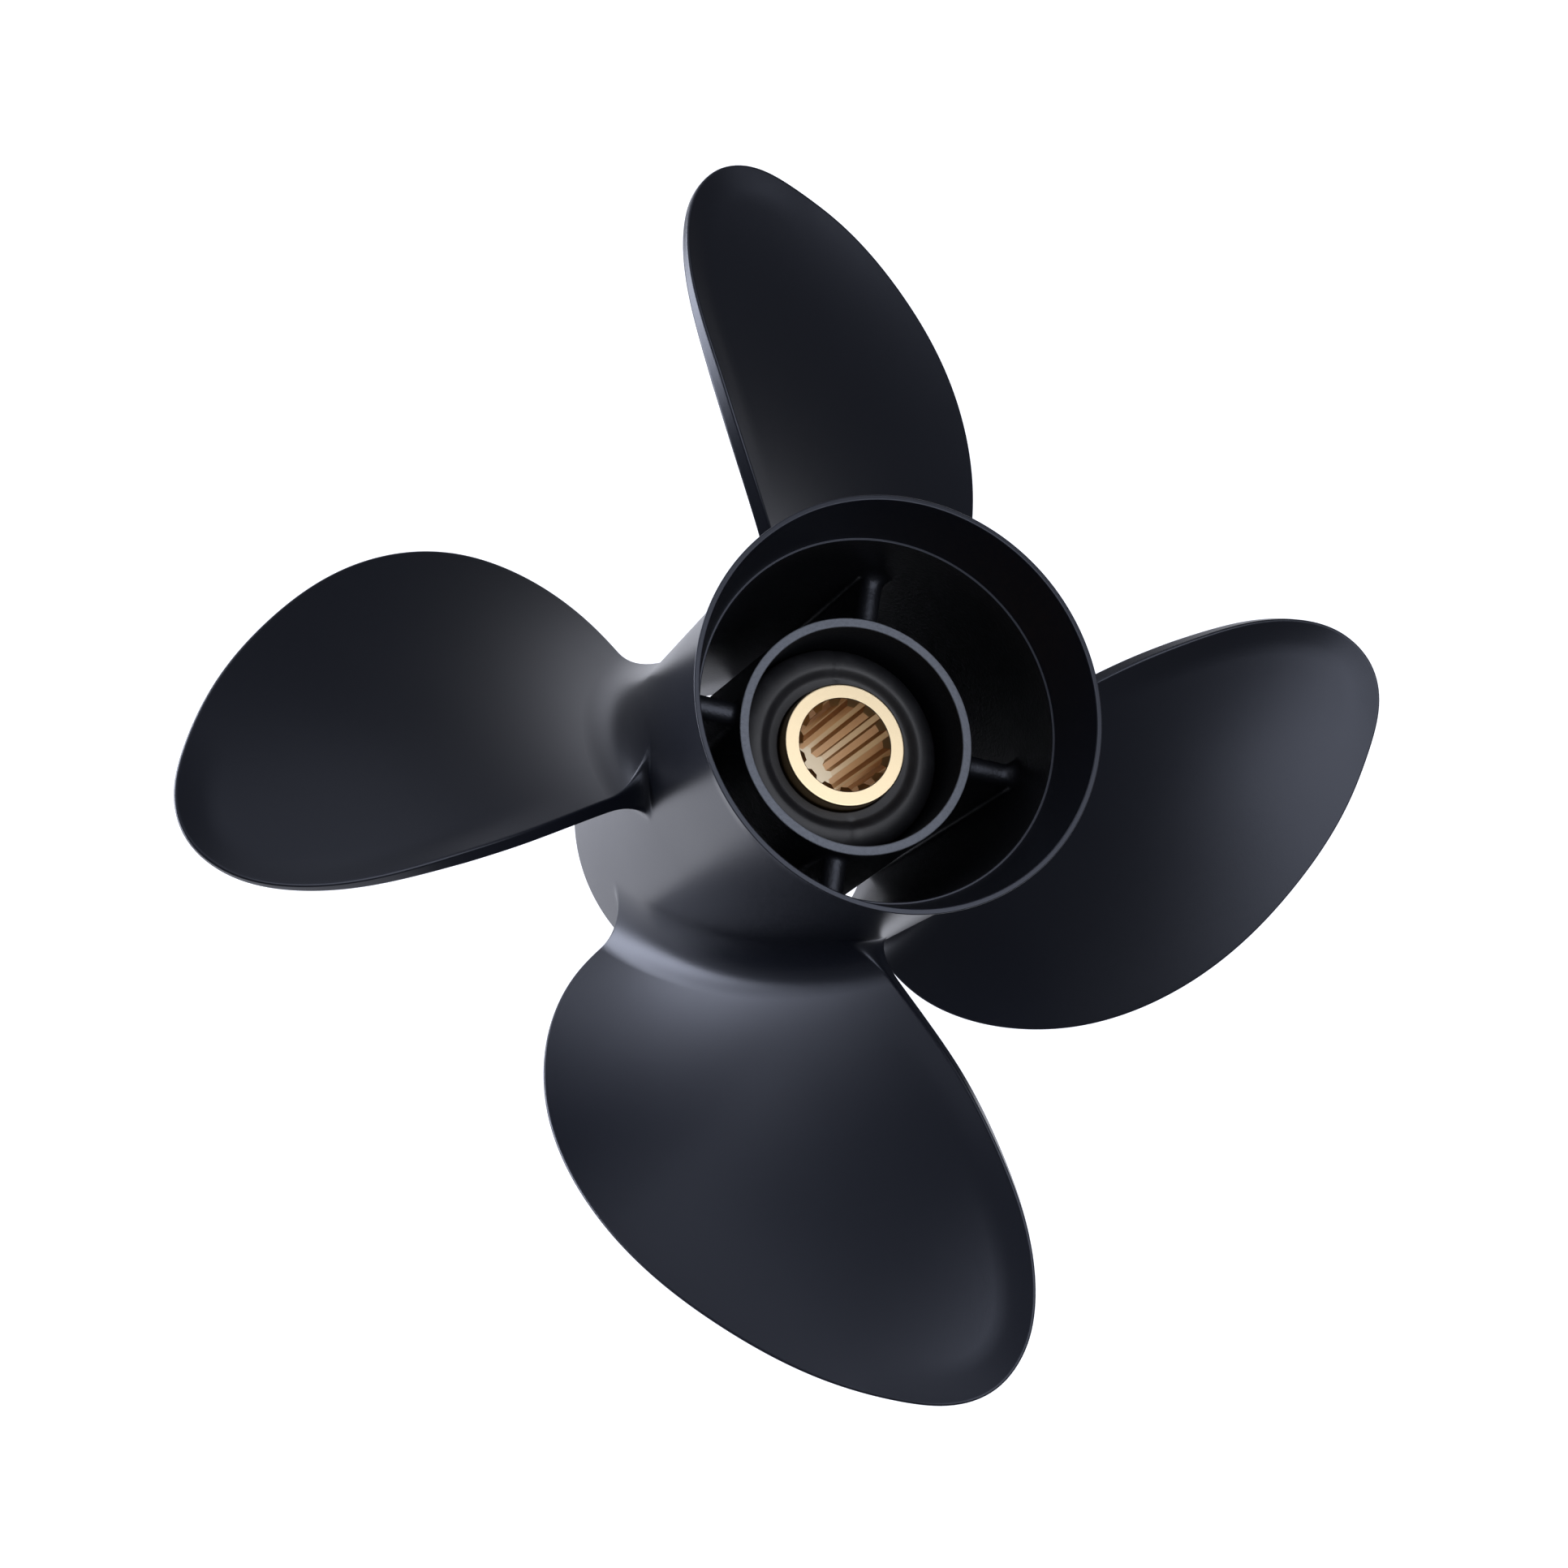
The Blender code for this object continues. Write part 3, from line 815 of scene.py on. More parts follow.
    def root_ring(self, place: Array, share: Array, lift: Array, reach: Array, above: float,
                  spread: float) -> Array:
        """Return one ring round the root.

        Args:
            place: chord share of each point.
            share: 0 on the pressure face, 1 on the back.
            lift: 1 on the face, -1 on the back, between them over the edges.
            reach: 1 over the trailing edge, -1 over the leading edge, 0 on the faces.
            above: distance from the barrel of the blade's plain face along the ring.
            spread: share of the fillet's full reach.

        Returns:
            Rows of xyz, all on a surface that lies above the barrel.
        """
        normal_reach = (self.face_reach + (self.back_reach - self.face_reach) * share) * spread
        end_reach = self.end_reach * spread
        radius = np.full_like(place, 62.0)
        for _ in range(10):
            lead, trail = self.edge_angles(radius)
            angle = lead + (trail - lead) * place
            face, across, along, thick = self.frame_at(radius, angle)
            corner = np.minimum(self.corner, thick * 0.5)
            section = face - across * (thick * share)[:, None]
            section = section + across * ((corner + normal_reach) * lift - corner * (1 - 2 * share))[:, None]
            section = section + along * ((corner + end_reach) * reach)[:, None]
            plain = self.height(radius, angle)
            level = section[:, 1] + (plain - section[:, 1]) * smooth_step(above / self.fillet_height)
            radius = self.barrel.outer(level) + above
        return self.wrap(radius, section)

    def add_to(self, skin: Skin) -> Array:
        """Add the blade to the skin.

        Args:
            skin: the surface to add to.

        Returns:
            The closed loop of its foot on the barrel, as xyz rows.
        """
        net = self.band()
        columns, size = net.shape[:2]
        radius, angle = self.roll(net.reshape(-1, 2))
        for points in self.faces_at(radius, angle):
            skin.grid(points.reshape(columns, size, 3))
        rings = self.root_rings()
        strip = self.edge_strip(net)
        over = strip.shape[1] - 2
        count = (rings.shape[1] - 2 * over) // 2
        strip[-1] = rings[-1, count - 1:count + over + 1]
        strip[0] = np.vstack([rings[-1, :1], rings[-1, :2 * count + over - 2:-1]])
        skin.grid(strip)
        root_radius, root_angle = self.root_line()
        root = self.unroll(root_radius, root_angle)
        loop = np.vstack([net[:, -1], root[size:-size][::-1]])
        low, high = loop.min(axis=0), loop.max(axis=0)
        rows = np.arange(low[1], high[1], self.grid_spacing * 0.866)
        grid = [(x + (self.grid_spacing / 2 if k % 2 else 0), y) for k, y in enumerate(rows)
                for x in np.arange(low[0], high[0], self.grid_spacing)]
        grid = np.array(grid)
        apart, _ = line_distance(grid, np.vstack([loop, loop[:1]]))
        grid = grid[inside_loop(grid, loop) & (apart > NET_CLEARANCE)]
        places, faces = fill_region([loop], grid)
        for points in self.faces_at(*self.roll(places)):
            skin.patch(points, faces)
        skin.grid(rings, closed=True)
        return rings[0]


# Node trees


class Graph:
    """Adds nodes to a shader or geometry tree in one way."""

    def __init__(self, tree: bpy.types.NodeTree) -> None:
        """Start on an empty or partly built tree."""
        self.tree = tree

    def node(self, kind: str, settings: dict[str, Any] | None = None,
             inputs: dict[str | int, Any] | None = None) -> bpy.types.Node:
        """Add a node.

        Args:
            kind: the node's type name.
            settings: properties set first; "stops" are a colour ramp's (place, colour) pairs.
            inputs: values or links of its sockets, by name or number.

        Returns:
            The new node.
        """
        made = self.tree.nodes.new(kind)
        for key, value in (settings or {}).items():
            if key == "stops":
                self.set_stops(made.color_ramp, value)
            else:
                setattr(made, key, value)
        self.node_into(made, inputs or {})
        return made

    def node_into(self, node: bpy.types.Node, inputs: dict[str | int, Any]) -> None:
        """Give a node's sockets their values or links.

        Args:
            node: the node to fill.
            inputs: values or links, by name or number.
        """
        for key, value in inputs.items():
            if isinstance(value, Term):
                value = value.socket
            if isinstance(value, bpy.types.NodeSocket):
                self.tree.links.new(value, node.inputs[key])
            else:
                node.inputs[key].default_value = value

    @staticmethod
    def set_stops(ramp: bpy.types.ColorRamp, stops: Sequence[tuple[float, Colour]]) -> None:
        """Give a colour ramp its stops.

        Args:
            ramp: the ramp to fill.
            stops: its (place, colour) pairs.
        """
        while len(ramp.elements) < len(stops):
            ramp.elements.new(1.0)
        for element, (place, colour) in zip(ramp.elements, stops):
            element.position = place
            element.color = colour

    def term(self, kind: str, settings: dict[str, Any] | None = None,
             inputs: dict[str | int, Any] | None = None, output: str | int = 0) -> "Term":
        """Add a node and return one of its outputs as a term."""
        return Term(self, self.node(kind, settings, inputs).outputs[output])


class Term:
    """A number that varies over a surface; arithmetic on it adds Math nodes."""

    def __init__(self, graph: Graph, socket: bpy.types.NodeSocket) -> None:
        """Wrap a socket of the graph's tree."""
        self.graph = graph
        self.socket = socket

    def math(self, operation: str, *values: Any, clamp: bool = False) -> "Term":
        """Return the result of a Math node on the given values."""
        settings = {"operation": operation, "use_clamp": clamp}
        kind = "ShaderNodeMath"
        return self.graph.term(kind, settings, dict(enumerate(values)))

    def __add__(self, other: Any) -> "Term":
        """Return self + other."""
        return self.math("ADD", self, other)

    def __sub__(self, other: Any) -> "Term":
        """Return self - other."""
        return self.math("SUBTRACT", self, other)

    def __rsub__(self, other: Any) -> "Term":
        """Return other - self."""
        return self.math("SUBTRACT", other, self)

    def __mul__(self, other: Any) -> "Term":
        """Return self * other."""
        return self.math("MULTIPLY", self, other)

    def __truediv__(self, other: Any) -> "Term":
        """Return self / other."""
        return self.math("DIVIDE", self, other)

    def __pow__(self, other: Any) -> "Term":
        """Return self to a power."""
        return self.math("POWER", self, other)

    __radd__ = __add__
    __rmul__ = __mul__

    def rise(self, low: float, high: float) -> "Term":
        """Return a smooth step from 0 at low to 1 at high."""
        settings = {"interpolation_type": "SMOOTHSTEP"}
        return self.graph.term("ShaderNodeMapRange", settings, {0: self, 1: low, 2: high})

    def near(self, centre: float, width: float) -> "Term":
        """Return 1 at the centre that falls to 0 at a distance of the width."""
        away = self.math("ABSOLUTE", self - centre)
        return 1 - away.rise(0.0, width)


def new_geometry_tree(name: str, sockets: dict[str, str]) -> tuple[Graph, bpy.types.Node]:
    """Start a Geometry Nodes tree.

    Args:
        name: name of the tree.
        sockets: socket type of each named input, after the geometry.

    Returns:
        The graph and its input node.
    """
    tree = bpy.data.node_groups.new(name, "GeometryNodeTree")
    tree.interface.new_socket("Geometry", in_out="OUTPUT", socket_type="NodeSocketGeometry")
    tree.interface.new_socket("Geometry", in_out="INPUT", socket_type="NodeSocketGeometry")
    for label, kind in sockets.items():
        tree.interface.new_socket(label, in_out="INPUT", socket_type=kind)
    graph = Graph(tree)
    return graph, graph.node("NodeGroupInput")


def round_axis(graph: Graph, unit: bpy.types.NodeSocket, copies: bpy.types.NodeSocket) -> bpy.types.Node:
    """Add nodes that repeat a unit round the Z axis.

    Args:
        graph: the geometry tree to add to.
        unit: geometry to repeat.
        copies: number of copies in a full turn.

    Returns:
        The Realize Instances node at their end.
    """
    row = graph.node("GeometryNodeMeshLine", None, {"Count": copies, "Offset": (0.0, 0.0, 0.0)})
    index = graph.term("GeometryNodeInputIndex")
    turn = index * (2 * math.pi) / Term(graph, copies)
    angles = graph.node("ShaderNodeCombineXYZ", None, {"Z": turn})
    rotation = graph.node("FunctionNodeEulerToRotation", None, {"Euler": angles.outputs[0]})
    placed = graph.node("GeometryNodeInstanceOnPoints", None, {
        "Points": row.outputs[0], "Instance": unit, "Rotation": rotation.outputs[0]})
    return graph.node("GeometryNodeRealizeInstances", None, {"Geometry": placed.outputs[0]})


def turned_copies_tree() -> bpy.types.NodeTree:
    """Return a tree that repeats a unit round the axis and joins its copies into one skin."""
    graph, given = new_geometry_tree("turned_copies", {
        "Copies": "NodeSocketInt", "Join Distance": "NodeSocketFloat", "Finish": "NodeSocketMaterial"})
    whole = round_axis(graph, given.outputs["Geometry"], given.outputs["Copies"])
    joined = graph.node("GeometryNodeMergeByDistance", None, {
        "Geometry": whole.outputs[0], "Distance": given.outputs["Join Distance"]})
    dressed = graph.node("GeometryNodeSetMaterial", None, {
        "Geometry": joined.outputs[0], "Material": given.outputs["Finish"]})
    graph.node("NodeGroupOutput", None, {"Geometry": dressed.outputs[0]})
    return graph.tree


def broached_bore_tree() -> bpy.types.NodeTree:
    """Return a tree that cuts copies of one groove round the bore of a turned body."""
    graph, given = new_geometry_tree("broached_bore", {
        "Groove": "NodeSocketObject", "Teeth": "NodeSocketInt", "Finish": "NodeSocketMaterial"})
    groove = graph.node("GeometryNodeObjectInfo", None, {"Object": given.outputs["Groove"]})
    grooves = round_axis(graph, groove.outputs["Geometry"], given.outputs["Teeth"])
    cut = graph.node("GeometryNodeMeshBoolean", {"operation": "DIFFERENCE", "solver": "EXACT"}, {
        "Mesh 1": given.outputs["Geometry"], "Mesh 2": grooves.outputs[0]})
    dressed = graph.node("GeometryNodeSetMaterial", None, {
        "Geometry": cut.outputs[0], "Material": given.outputs["Finish"]})
    graph.node("NodeGroupOutput", None, {"Geometry": dressed.outputs[0]})
    return graph.tree


def linked(name: str, data: bpy.types.ID) -> bpy.types.Object:
    """Return a new object of the scene at the origin."""
    item = bpy.data.objects.new(name, data)
    bpy.context.scene.collection.objects.link(item)
    return item


def grow(base: bpy.types.Mesh, name: str, tree: bpy.types.NodeTree,
         values: dict[str, Any]) -> bpy.types.Object:
    """Run a geometry tree on a mesh.

    Args:
        base: mesh that the tree starts from.
        name: name of the finished piece.
        tree: the Geometry Nodes tree.
        values: value of each named input.

    Returns:
        An object at the origin that holds the result as a plain mesh.
    """
    seed = linked(name + "_seed", base)
    modifier = seed.modifiers.new("Grow", "NODES")
    modifier.node_group = tree
    for item in tree.interface.items_tree:
        if item.in_out == "INPUT" and item.name in values:
            modifier[item.identifier] = values[item.name]
    depsgraph = bpy.context.evaluated_depsgraph_get()
    made = bpy.data.meshes.new_from_object(seed.evaluated_get(depsgraph))
    bpy.data.objects.remove(seed)
    return linked(name, made)


def oriented(mesh: bpy.types.Mesh) -> bpy.types.Mesh:
    """Merge a mesh's doubles and turn its faces outwards.

    Args:
        mesh: mesh in metres, changed in place.

    Returns:
        The same mesh.
    """
    work = bmesh.new()
    work.from_mesh(mesh)
    bmesh.ops.remove_doubles(work, verts=work.verts, dist=MERGE_DISTANCE * MM)
    bmesh.ops.recalc_face_normals(work, faces=work.faces)
    work.to_mesh(mesh)
    work.free()
    return mesh


def publish(piece: bpy.types.Object, slot: Slot, *nodes: str) -> bpy.types.Object:
    """Clean and orient a finished piece, log its open edges, attach it to its body and hide the CAD nodes it
    stands for.

    Args:
        piece: object at the origin with its place in its mesh.
        slot: the record's material slot; not used.
        nodes: the CAD nodes that the piece stands for.

    Returns:
        The same object.
    """
    work = bmesh.new()
    work.from_mesh(piece.data)
    bmesh.ops.dissolve_degenerate(work, dist=0.002 * MM, edges=work.edges)
    bmesh.ops.triangulate(work, faces=[face for face in work.faces if len(face.verts) > 4])
    bmesh.ops.recalc_face_normals(work, faces=work.faces)
    if work.calc_volume(signed=True) < 0:
        bmesh.ops.reverse_faces(work, faces=work.faces)
    open_edges = sum(not edge.is_manifold for edge in work.edges)
    work.to_mesh(piece.data)
    work.free()
    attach(piece, BODY)
    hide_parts(*nodes)
    piece.data.calc_loop_triangles()
    log.info("%s: %d triangles, %d open edges", piece.name, len(piece.data.loop_triangles), open_edges)
    return piece


@dataclass(frozen=True)
class Casting:
    """Barrel, inner hub, ribs and blades, cast in one piece and painted."""

    barrel: Barrel = Barrel()
    hub: Hub = Hub()
    rib: Rib = Rib()
    ring: Ring = Ring()
    blade_first_step: int = -6
    outer_top: float = 132.0
    inner_top: float = 128.0
    row_height: float = 2.6
    join_distance: float = 0.012

    def quarter(self) -> Skin:
        """Return a quarter of the skin, with one blade and one rib."""
        skin = Skin()
        foot = Blade(self.barrel).add_to(skin)
        heights = self.rows(self.barrel.edge, self.outer_top, self.row_height)
        wall_quarter(skin, self.barrel.outer, heights, self.ring, self.blade_first_step, foot)
        webs = self.rib.rings(self.hub, self.barrel)
        skin.grid(webs, closed=True)
        heights = self.rows(self.barrel.edge, self.inner_top, 2 * self.row_height)
        wall_quarter(skin, self.barrel.inner, heights, self.ring, 0, webs[-1])
        heights = self.rows(self.hub.wall_bottom, self.hub.wall_top, 2 * self.row_height)
        wall_quarter(skin, self.hub.outer, heights, self.ring, 0, webs[0])
        turned_quarter(skin, self.barrel.rim_profile(self.outer_top, self.inner_top), self.ring)
        turned_quarter(skin, self.barrel.front_profile(), self.ring)
        turned_quarter(skin, self.hub.rim_profile(), self.ring)
        return skin

    @staticmethod
    def rows(low: float, high: float, spacing: float) -> Array:
        """Return evenly spaced heights from low to high."""
        return np.linspace(low, high, int((high - low) / spacing) + 1)

    def build(self, finish: bpy.types.Material) -> bpy.types.Object:
        """Return the finished casting.

        Args:
            finish: its material.

        Returns:
            The object, attached to its body.
        """
        values = {"Copies": Copies.QUARTERS.value, "Join Distance": self.join_distance * MM,
                  "Finish": finish}
        piece = grow(self.quarter().mesh("quarter"), "casting", turned_copies_tree(), values)
        nodes = ["outer_barrel", "inner_hub"]
        nodes += [f"{name}_{index + 1}" for name in ("rib", "blade") for index in range(4)]
        return publish(piece, Slot.PAINT, *nodes)


@dataclass(frozen=True)
class Bush:
    """Moulded rubber ring between the sleeve and the hub's bore."""

    inner: float = 17.1
    outer: float = 28.3
    collar_radius: float = 19.3
    collar_top: float = 96.6
    crown_radius: float = 22.5
    crown_top: float = 98.5
    edge_top: float = 94.0
    bottom: float = 8.3
    steps: int = 144
    seam_turns: tuple = (math.radians(145), math.radians(-27))
    seam_width: float = math.radians(2.5)
    seam_depth: float = 0.35

    def profile(self) -> Array:
        """Return the bush's profile, from inside the collar over the crown to the bottom."""
        half, rise = self.outer - self.crown_radius, self.crown_top - self.edge_top
        arc = np.linspace(math.pi / 2, 0, 13)
        crown = [(self.crown_radius + half * math.cos(a), self.edge_top + rise * math.sin(a), 0.0)
                 for a in arc]
        inward = self.crown_radius - self.collar_radius
        fall = self.crown_top - self.collar_top
        share = np.linspace(0, 1, 9)[:-1]
        valley = [(self.collar_radius + inward * s, self.collar_top + fall * float(smooth_step(s)), 0.0)
                  for s in share]
        return rounded_profile([(self.inner, self.collar_top - 1.0, 0.0), (self.inner, self.collar_top, 0.3),
                                *valley, *crown, (self.outer, self.bottom, 0.8),
                                (self.inner, self.bottom, 0.8), (self.inner, self.collar_top - 1.0, 0.0)])

    def build(self, finish: bpy.types.Material) -> bpy.types.Object:
        """Return the finished bush.

        Args:
            finish: its material.

        Returns:
            The object, attached to its body.
        """
        profile = self.profile()[:-1]
        turns = np.linspace(0, 2 * math.pi, self.steps, endpoint=False)
        radius, turn = np.meshgrid(profile[:, 0], turns)
        height = np.broadcast_to(profile[:, 1], radius.shape).copy()
        for seam in self.seam_turns:
            away = np.abs((turn - seam + math.pi) % (2 * math.pi) - math.pi) / self.seam_width
            exposed = smooth_step((height - self.edge_top + 1.0) / 2.0) * (radius > self.collar_radius)
            height = height - self.seam_depth * exposed * (1 - smooth_step(away))
        rows = polar(radius, turn, height)
        skin = Skin()
        skin.grid(np.concatenate([rows, rows[:1]]), closed=True)
        made = oriented(skin.mesh("rubber_ring"))
        made.materials.append(finish)
        return publish(linked("rubber_ring", made), Slot.RUBBER, "rubber_bush")


@dataclass(frozen=True)
class Sleeve:
    """Brass sleeve with broached teeth, bonded into the bush."""

    top: float = 102.0
    bottom: float = 6.0
    radius: float = 16.8
    mouth_radius: float = 12.9
    tip_radius: float = 11.2
    root_radius: float = 12.75
    spline_end: float = 54.5
    front_bore: float = 13.4
    groove_floor: float = 0.30
    groove_opening: float = 0.60
    groove_past: float = 1.0
    floor_corner: float = 0.05
    corner_dip: float = 0.03
    corner_rise: float = 0.16
    first_groove: float = 0.0
    steps: int = 180
    sharp_angle: float = math.radians(24)

    def profile(self) -> Array:
        """Return the sleeve's closed profile, starting on its side."""
        mouth_end = self.top - (self.mouth_radius - self.tip_radius)
        middle = (self.top + self.bottom) / 2
        return rounded_profile([
            (self.radius, middle, 0.0), (self.radius, self.bottom, 0.5), (self.front_bore, self.bottom, 0.4),
            (self.front_bore, self.spline_end, 0.0), (self.tip_radius, self.spline_end + 1.0, 0.0),
            (self.tip_radius, mouth_end, 0.0), (self.mouth_radius, self.top, 0.15),
            (self.radius, self.top, 0.55), (self.radius, middle, 0.0)])

    def body(self) -> bpy.types.Mesh:
        """Return the turned body before broaching."""
        profile = self.profile()[:-1]
        turns = np.linspace(0, 2 * math.pi, self.steps, endpoint=False)
        rows = polar(profile[None, :, 0], turns[:, None], profile[None, :, 1])
        skin = Skin()
        skin.grid(np.concatenate([rows, rows[:1]]), closed=True)
        return oriented(skin.mesh("sleeve_body"))

    def groove(self) -> bpy.types.Object:
        """Return the bar that cuts one groove: a flat floor that follows the root circle."""
        pitch = 2 * math.pi / Copies.TEETH.value
        low = self.tip_radius - 1.2
        flank = (self.groove_opening - self.groove_floor) / (self.root_radius - self.tip_radius)
        wide = self.groove_opening + flank * (self.tip_radius - low)
        floor = self.groove_floor / 2
        half = [(wide / 2, low), (floor + self.floor_corner / 2, self.root_radius - self.corner_rise),
                (floor, self.root_radius - self.corner_dip), (floor - self.floor_corner, self.root_radius)]
        shares = [(-share, radius) for share, radius in half] + [(0.0, self.root_radius)] + half[::-1]
        outline = np.array([(radius, self.first_groove + share * pitch) for share, radius in shares])
        rings = [polar(outline[:, 0], outline[:, 1], np.full(len(outline), height))
                 for height in (self.spline_end - self.groove_past, self.top + self.groove_past)]
        skin = Skin()
        skin.grid(np.array(rings), closed=True)
        ends = np.arange(len(outline))
        for ring in rings:
            skin.patch(ring, [tuple(ends)])
        return linked("groove", oriented(skin.mesh("groove")))

    def build(self, finish: bpy.types.Material) -> bpy.types.Object:
        """Return the finished sleeve.

        Args:
            finish: its material.

        Returns:
            The object, attached to its body.
        """
        bar = self.groove()
        values = {"Groove": bar, "Teeth": Copies.TEETH.value, "Finish": finish}
        piece = grow(self.body(), "splined_sleeve", broached_bore_tree(), values)
        bpy.data.objects.remove(bar)
        piece.data.shade_smooth()
        piece.data.set_sharp_from_angle(angle=self.sharp_angle)
        return publish(piece, Slot.BRASS, "spline_sleeve")


# Finishes


def new_material(name: str) -> tuple[bpy.types.Material, Graph, bpy.types.Node]:
    """Return a material, the graph of its tree and its Principled shader.

    Args:
        name: name of the material.

    Returns:
        The material, the graph that adds its nodes, and the shader.
    """
    made = bpy.data.materials.new(name)
    made.use_nodes = True
    graph = Graph(made.node_tree)
    return made, graph, made.node_tree.nodes["Principled BSDF"]


def cylinder_terms(graph: Graph) -> tuple[bpy.types.NodeSocket, Term, Term]:
    """Return object coordinates, the radius from the shaft's axis and the height, in metres.

    Args:
        graph: the material's graph.

    Returns:
        The coordinates' socket, the radius and the height.
    """
    place = graph.node("ShaderNodeTexCoord").outputs["Object"]
    parts = graph.node("ShaderNodeSeparateXYZ", None, {0: place})
    x, y = Term(graph, parts.outputs[0]), Term(graph, parts.outputs[1])
    radius = (x * x + y * y) ** 0.5
    return place, radius, Term(graph, parts.outputs[2])


def noise(graph: Graph, place: bpy.types.NodeSocket, size: float, detail: float = 2.0) -> Term:
    """Return noise whose features are about a size across, in millimetres."""
    inputs = {"Vector": place, "Scale": 1 / (size * MM), "Detail": detail}
    return graph.term("ShaderNodeTexNoise", None, inputs)


def relief_normal(graph: Graph, relief: Term) -> bpy.types.NodeSocket:
    """Return the normal that a relief gives, its height in millimetres."""
    node = graph.node("ShaderNodeBump", None, {"Strength": 1.0, "Distance": MM, "Height": relief})
    return node.outputs[0]


def turning_marks(graph: Graph, along: Term, size: float) -> Term:
    """Return noise along one coordinate only, as turning leaves it, in millimetres."""
    inputs = {"W": along, "Scale": 1 / (size * MM), "Detail": 2.0}
    return graph.term("ShaderNodeTexNoise", {"noise_dimensions": "1D"}, inputs)


def mixed(graph: Graph, share: Term, first: Any, second: Any) -> bpy.types.NodeSocket:
    """Return the colour between two colours."""
    node = graph.node("ShaderNodeMix", {"data_type": "RGBA"}, {0: share, 6: first, 7: second})
    return node.outputs[2]


@dataclass(frozen=True)
class PaintFinish:
    """Satin black paint over cast aluminium, smooth outside and grainy in the cast bore."""

    colour: Colour = (0.0038, 0.0046, 0.0082, 1.0)
    inner_colour: Colour = (0.0040, 0.0043, 0.0055, 1.0)
    rim_colour: Colour = (0.17, 0.185, 0.215, 1.0)
    gloss_tint: Colour = (0.80, 0.85, 1.0, 1.0)
    roughness: float = 0.34
    inner_roughness: float = 0.42
    grain: float = 0.35
    cast_grain: float = 0.9
    patch_size: float = 40.0
    grain_depth: float = 0.012
    cast_depth: float = 0.11
    rim_depth: float = 0.12
    rim_dullness: float = 0.12

    def material(self, barrel: Barrel, hub: Hub) -> bpy.types.Material:
        """Return the paint as a material.

        Args:
            barrel: the outer tube, whose bore is rough-cast.
            hub: the inner tube, whose rim is light.

        Returns:
            The material.
        """
        made, graph, shader = new_material("satin_black_paint")
        place, radius, height = cylinder_terms(graph)
        taper = (barrel.front_radius - barrel.neck_radius) / (barrel.length - barrel.lip_length)
        depth = barrel.front_radius * MM - height * taper - radius
        below_step = 1 - height.rise((barrel.step_height - 0.4) * MM, (barrel.step_height - 0.1) * MM)
        cast = depth.rise(1.4 * MM, 2.0 * MM) * below_step
        rim = height.near(hub.top * MM, 0.35 * MM) * (1 - radius.rise(33 * MM, 34 * MM))
        grain = noise(graph, place, self.grain, 3.0)
        coarse = noise(graph, place, self.cast_grain, 4.0)
        broad = noise(graph, place, self.patch_size, 2.0)
        colour = mixed(graph, cast, self.colour, self.inner_colour)
        colour = mixed(graph, rim * (0.6 + 0.4 * coarse), colour, self.rim_colour)
        rough = self.roughness + 0.06 * (broad - 0.5) + 0.05 * (grain - 0.5)
        rough = rough + cast * (self.inner_roughness - self.roughness) + rim * self.rim_dullness
        relief = grain * self.grain_depth + coarse * (cast * self.cast_depth + rim * self.rim_depth)
        graph.node_into(shader, {
            "Base Color": colour, "Roughness": rough, "Normal": relief_normal(graph, relief)})
        shader.inputs["Specular Tint"].default_value = self.gloss_tint
        return made


@dataclass(frozen=True)
class RubberFinish:
    """Moulded black rubber, dull with a faint bloom."""

    colour: Colour = (0.0080, 0.0082, 0.0100, 1.0)
    bloom: Colour = (0.0130, 0.0135, 0.0160, 1.0)
    roughness: float = 0.5
    dullness: float = 0.15
    pore_size: float = 0.5
    pore_depth: float = 0.02
    bloom_size: float = 6.0

    def material(self) -> bpy.types.Material:
        """Return the rubber as a material."""
        made, graph, shader = new_material("moulded_rubber")
        place, _, _ = cylinder_terms(graph)
        fine = noise(graph, place, self.pore_size, 3.0)
        broad = noise(graph, place, self.bloom_size, 3.0)
        graph.node_into(shader, {
            "Base Color": mixed(graph, broad.rise(0.45, 0.75), self.colour, self.bloom),
            "Roughness": self.roughness + self.dullness * (broad - 0.5),
            "Normal": relief_normal(graph, fine * self.pore_depth)})
        return made


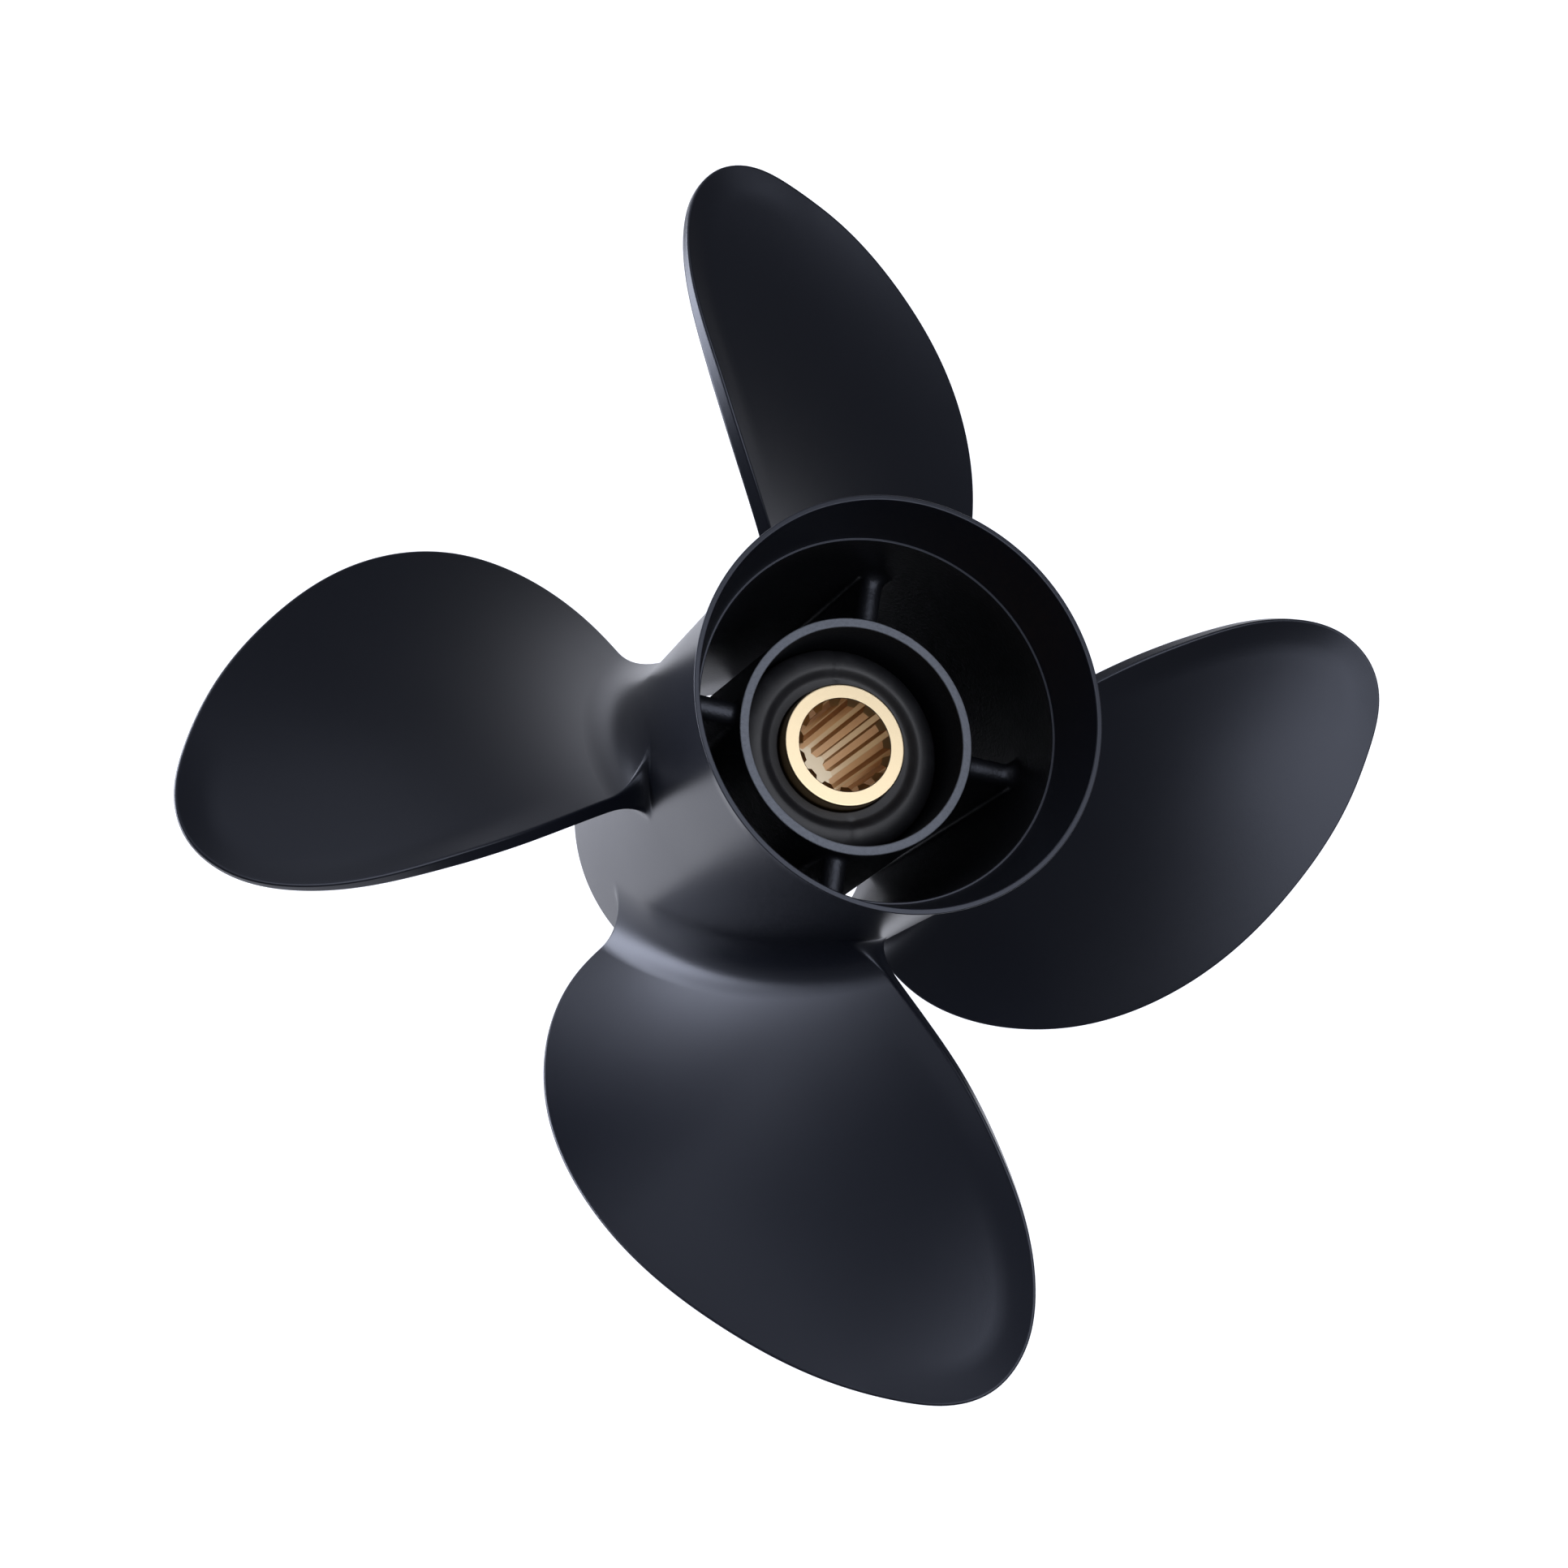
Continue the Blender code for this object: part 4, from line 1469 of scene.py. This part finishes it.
@dataclass(frozen=True)
class BrassFinish:
    """Turned brass: a bright ring face, a darker side and warm broached grooves."""

    face: Colour = (0.55, 0.45, 0.29, 1.0)
    side: Colour = (0.42, 0.27, 0.10, 1.0)
    bore: Colour = (0.56, 0.32, 0.13, 1.0)
    roughness: float = 0.30
    wear: float = 0.1
    bore_dullness: float = 0.06
    turning: float = 0.25
    turning_depth: float = 0.03
    facing: float = 0.2
    facing_depth: float = 0.006
    grain: float = 0.4
    grain_depth: float = 0.004

    def material(self, sleeve: Sleeve) -> bpy.types.Material:
        """Return the brass as a material.

        Args:
            sleeve: the sleeve whose faces it tells apart.

        Returns:
            The material.
        """
        made, graph, shader = new_material("turned_brass")
        place, radius, height = cylinder_terms(graph)
        bore = 1 - radius.rise((sleeve.mouth_radius - 0.35) * MM, (sleeve.mouth_radius - 0.05) * MM)
        outside = radius.rise((sleeve.radius - 0.12) * MM, (sleeve.radius - 0.02) * MM)
        colour = mixed(graph, bore, self.face, self.bore)
        colour = mixed(graph, outside, colour, self.side)
        turning = turning_marks(graph, height, self.turning)
        facing = turning_marks(graph, radius, self.facing)
        tips = 1 - radius.rise((sleeve.tip_radius + 0.1) * MM, (sleeve.tip_radius + 0.3) * MM)
        face = (1 - bore) * (1 - outside)
        marks = turning * tips * self.turning_depth + facing * face * self.facing_depth
        fine = noise(graph, place, self.grain, 3.0)
        graph.node_into(shader, {
            "Base Color": colour,
            "Roughness": self.roughness + self.wear * (fine - 0.5) + self.bore_dullness * bore,
            "Normal": relief_normal(graph, marks + fine * self.grain_depth)})
        shader.inputs["Metallic"].default_value = 1.0
        return made


# Studio


@dataclass(frozen=True)
class SoftBox:
    """Rectangular soft light aimed at the hub."""

    name: str
    place: tuple[float, float, float]
    size: tuple[float, float]
    power: float
    target: tuple[float, float, float] = (0.0, 0.0, 0.08)
    colour: tuple[float, float, float] = (0.96, 0.98, 1.06)

    def light(self) -> bpy.types.Object:
        """Return the light, placed and aimed."""
        lamp = bpy.data.lights.new(self.name, "AREA")
        lamp.shape = "RECTANGLE"
        lamp.size, lamp.size_y = self.size
        lamp.energy = self.power
        lamp.color = self.colour
        item = linked(self.name, lamp)
        item.location = self.place
        aim = Vector(self.target) - Vector(self.place)
        item.rotation_euler = aim.to_track_quat("-Z", "Y").to_euler()
        item.visible_camera = False
        return item


@dataclass(frozen=True)
class Studio:
    """White table, soft lights and the camera at the photograph's angle."""

    floor_half: float = 4.0
    floor_height: float = -0.4
    # Emission colours that paint a pool of light on the floor under the part and a dimmer glow further out.
    painted_pool_glow: Colour = (1.02, 1.04, 1.14, 1.0)
    painted_far_glow: Colour = (0.25, 0.25, 0.26, 1.0)
    pool_centre: tuple[float, float, float] = (0.0, 0.3, 0.0)
    pool_radius: float = 0.9
    pool_fade: float = 1.5
    world_strength: float = 0.11
    camera_place: tuple[float, float, float] = (7.34, -188.42, 520.22)
    camera_right: tuple[float, float, float] = (0.5751, 0.7631, 0.2949)
    camera_up: tuple[float, float, float] = (-0.8179, 0.5284, 0.2275)
    focal_length_px: float = 2139.8
    sensor: float = 36.0
    boxes: tuple[SoftBox, ...] = (
        SoftBox("side_panel", (-0.62, -0.50, -0.05), (0.9, 0.30), 11.0, (0.0, 0.0, 0.05)),
        SoftBox("side_fill", (-0.95, -0.12, 0.30), (0.8, 0.5), 2.2),
        SoftBox("left_fill", (-1.2, 0.45, 1.0), (1.6, 1.6), 3.6),
        SoftBox("overhead", (0.30, 0.15, 1.55), (1.5, 1.5), 18.0),
    )

    def floor(self) -> bpy.types.Object:
        """Return the plain pale floor, whose emission paints a pool of light under the part that fades to a
        dimmer glow further out.
        """
        half, level = self.floor_half, self.floor_height
        corners = [(-half, -half, level), (half, -half, level), (half, half, level), (-half, half, level)]
        made = bpy.data.meshes.new("floor")
        made.from_pydata(corners, [], [(0, 1, 2, 3)])
        finish, graph, shader = new_material("pale_floor")
        place = graph.node("ShaderNodeTexCoord").outputs["Object"]
        away = graph.node("ShaderNodeVectorMath", {"operation": "DISTANCE"}, {
            0: place, 1: (*self.pool_centre[:2], level)})
        fade = Term(graph, away.outputs["Value"]).rise(self.pool_radius, self.pool_fade)
        # The floor glows though it is no lamp: its emission paints a pool of light under the part and a
        # dimmer glow beyond.
        graph.node_into(shader, {"Emission Color": mixed(graph, fade, self.painted_pool_glow, self.painted_far_glow)})
        shader.inputs["Base Color"].default_value = (0.2, 0.2, 0.2, 1.0)
        shader.inputs["Roughness"].default_value = 0.9
        shader.inputs["Emission Strength"].default_value = 1.0
        made.materials.append(finish)
        item = linked("floor", made)
        return item

    def world(self) -> None:
        """Give the scene an even pale surrounding."""
        sky = bpy.data.worlds.new("studio")
        sky.use_nodes = True
        back = sky.node_tree.nodes["Background"]
        back.inputs["Color"].default_value = (1.0, 1.0, 1.0, 1.0)
        back.inputs["Strength"].default_value = self.world_strength
        bpy.context.scene.world = sky

    def camera(self) -> bpy.types.Object:
        """Return the camera, turned and placed as the photograph was taken."""
        lens = bpy.data.cameras.new("camera")
        lens.sensor_width = self.sensor
        lens.lens = self.focal_length_px / IMAGE_SIDE * self.sensor
        lens.clip_start = 0.01
        right, up = Vector(self.camera_right), Vector(self.camera_up)
        back = right.cross(up)
        turn = Matrix((right, up, back)).transposed()
        item = linked("camera", lens)
        item.matrix_world = Matrix.Translation(Vector(self.camera_place) * MM) @ turn.to_4x4()
        bpy.context.scene.camera = item
        return item

    def build(self) -> None:
        """Set up floor, surroundings, lights and camera."""
        self.floor()
        self.world()
        for box in self.boxes:
            box.light()
        self.camera()
        bpy.context.scene.view_settings.view_transform = "Standard"


def main() -> None:
    """Build the pieces, then the studio round them."""
    logging.basicConfig(level=logging.INFO, format="%(name)s: %(message)s")
    casting = Casting()
    sleeve = Sleeve()
    casting.build(PaintFinish().material(casting.barrel, casting.hub))
    Bush().build(RubberFinish().material())
    sleeve.build(BrassFinish().material(sleeve))
    Studio().build()


if __name__ == "__main__":
    main()
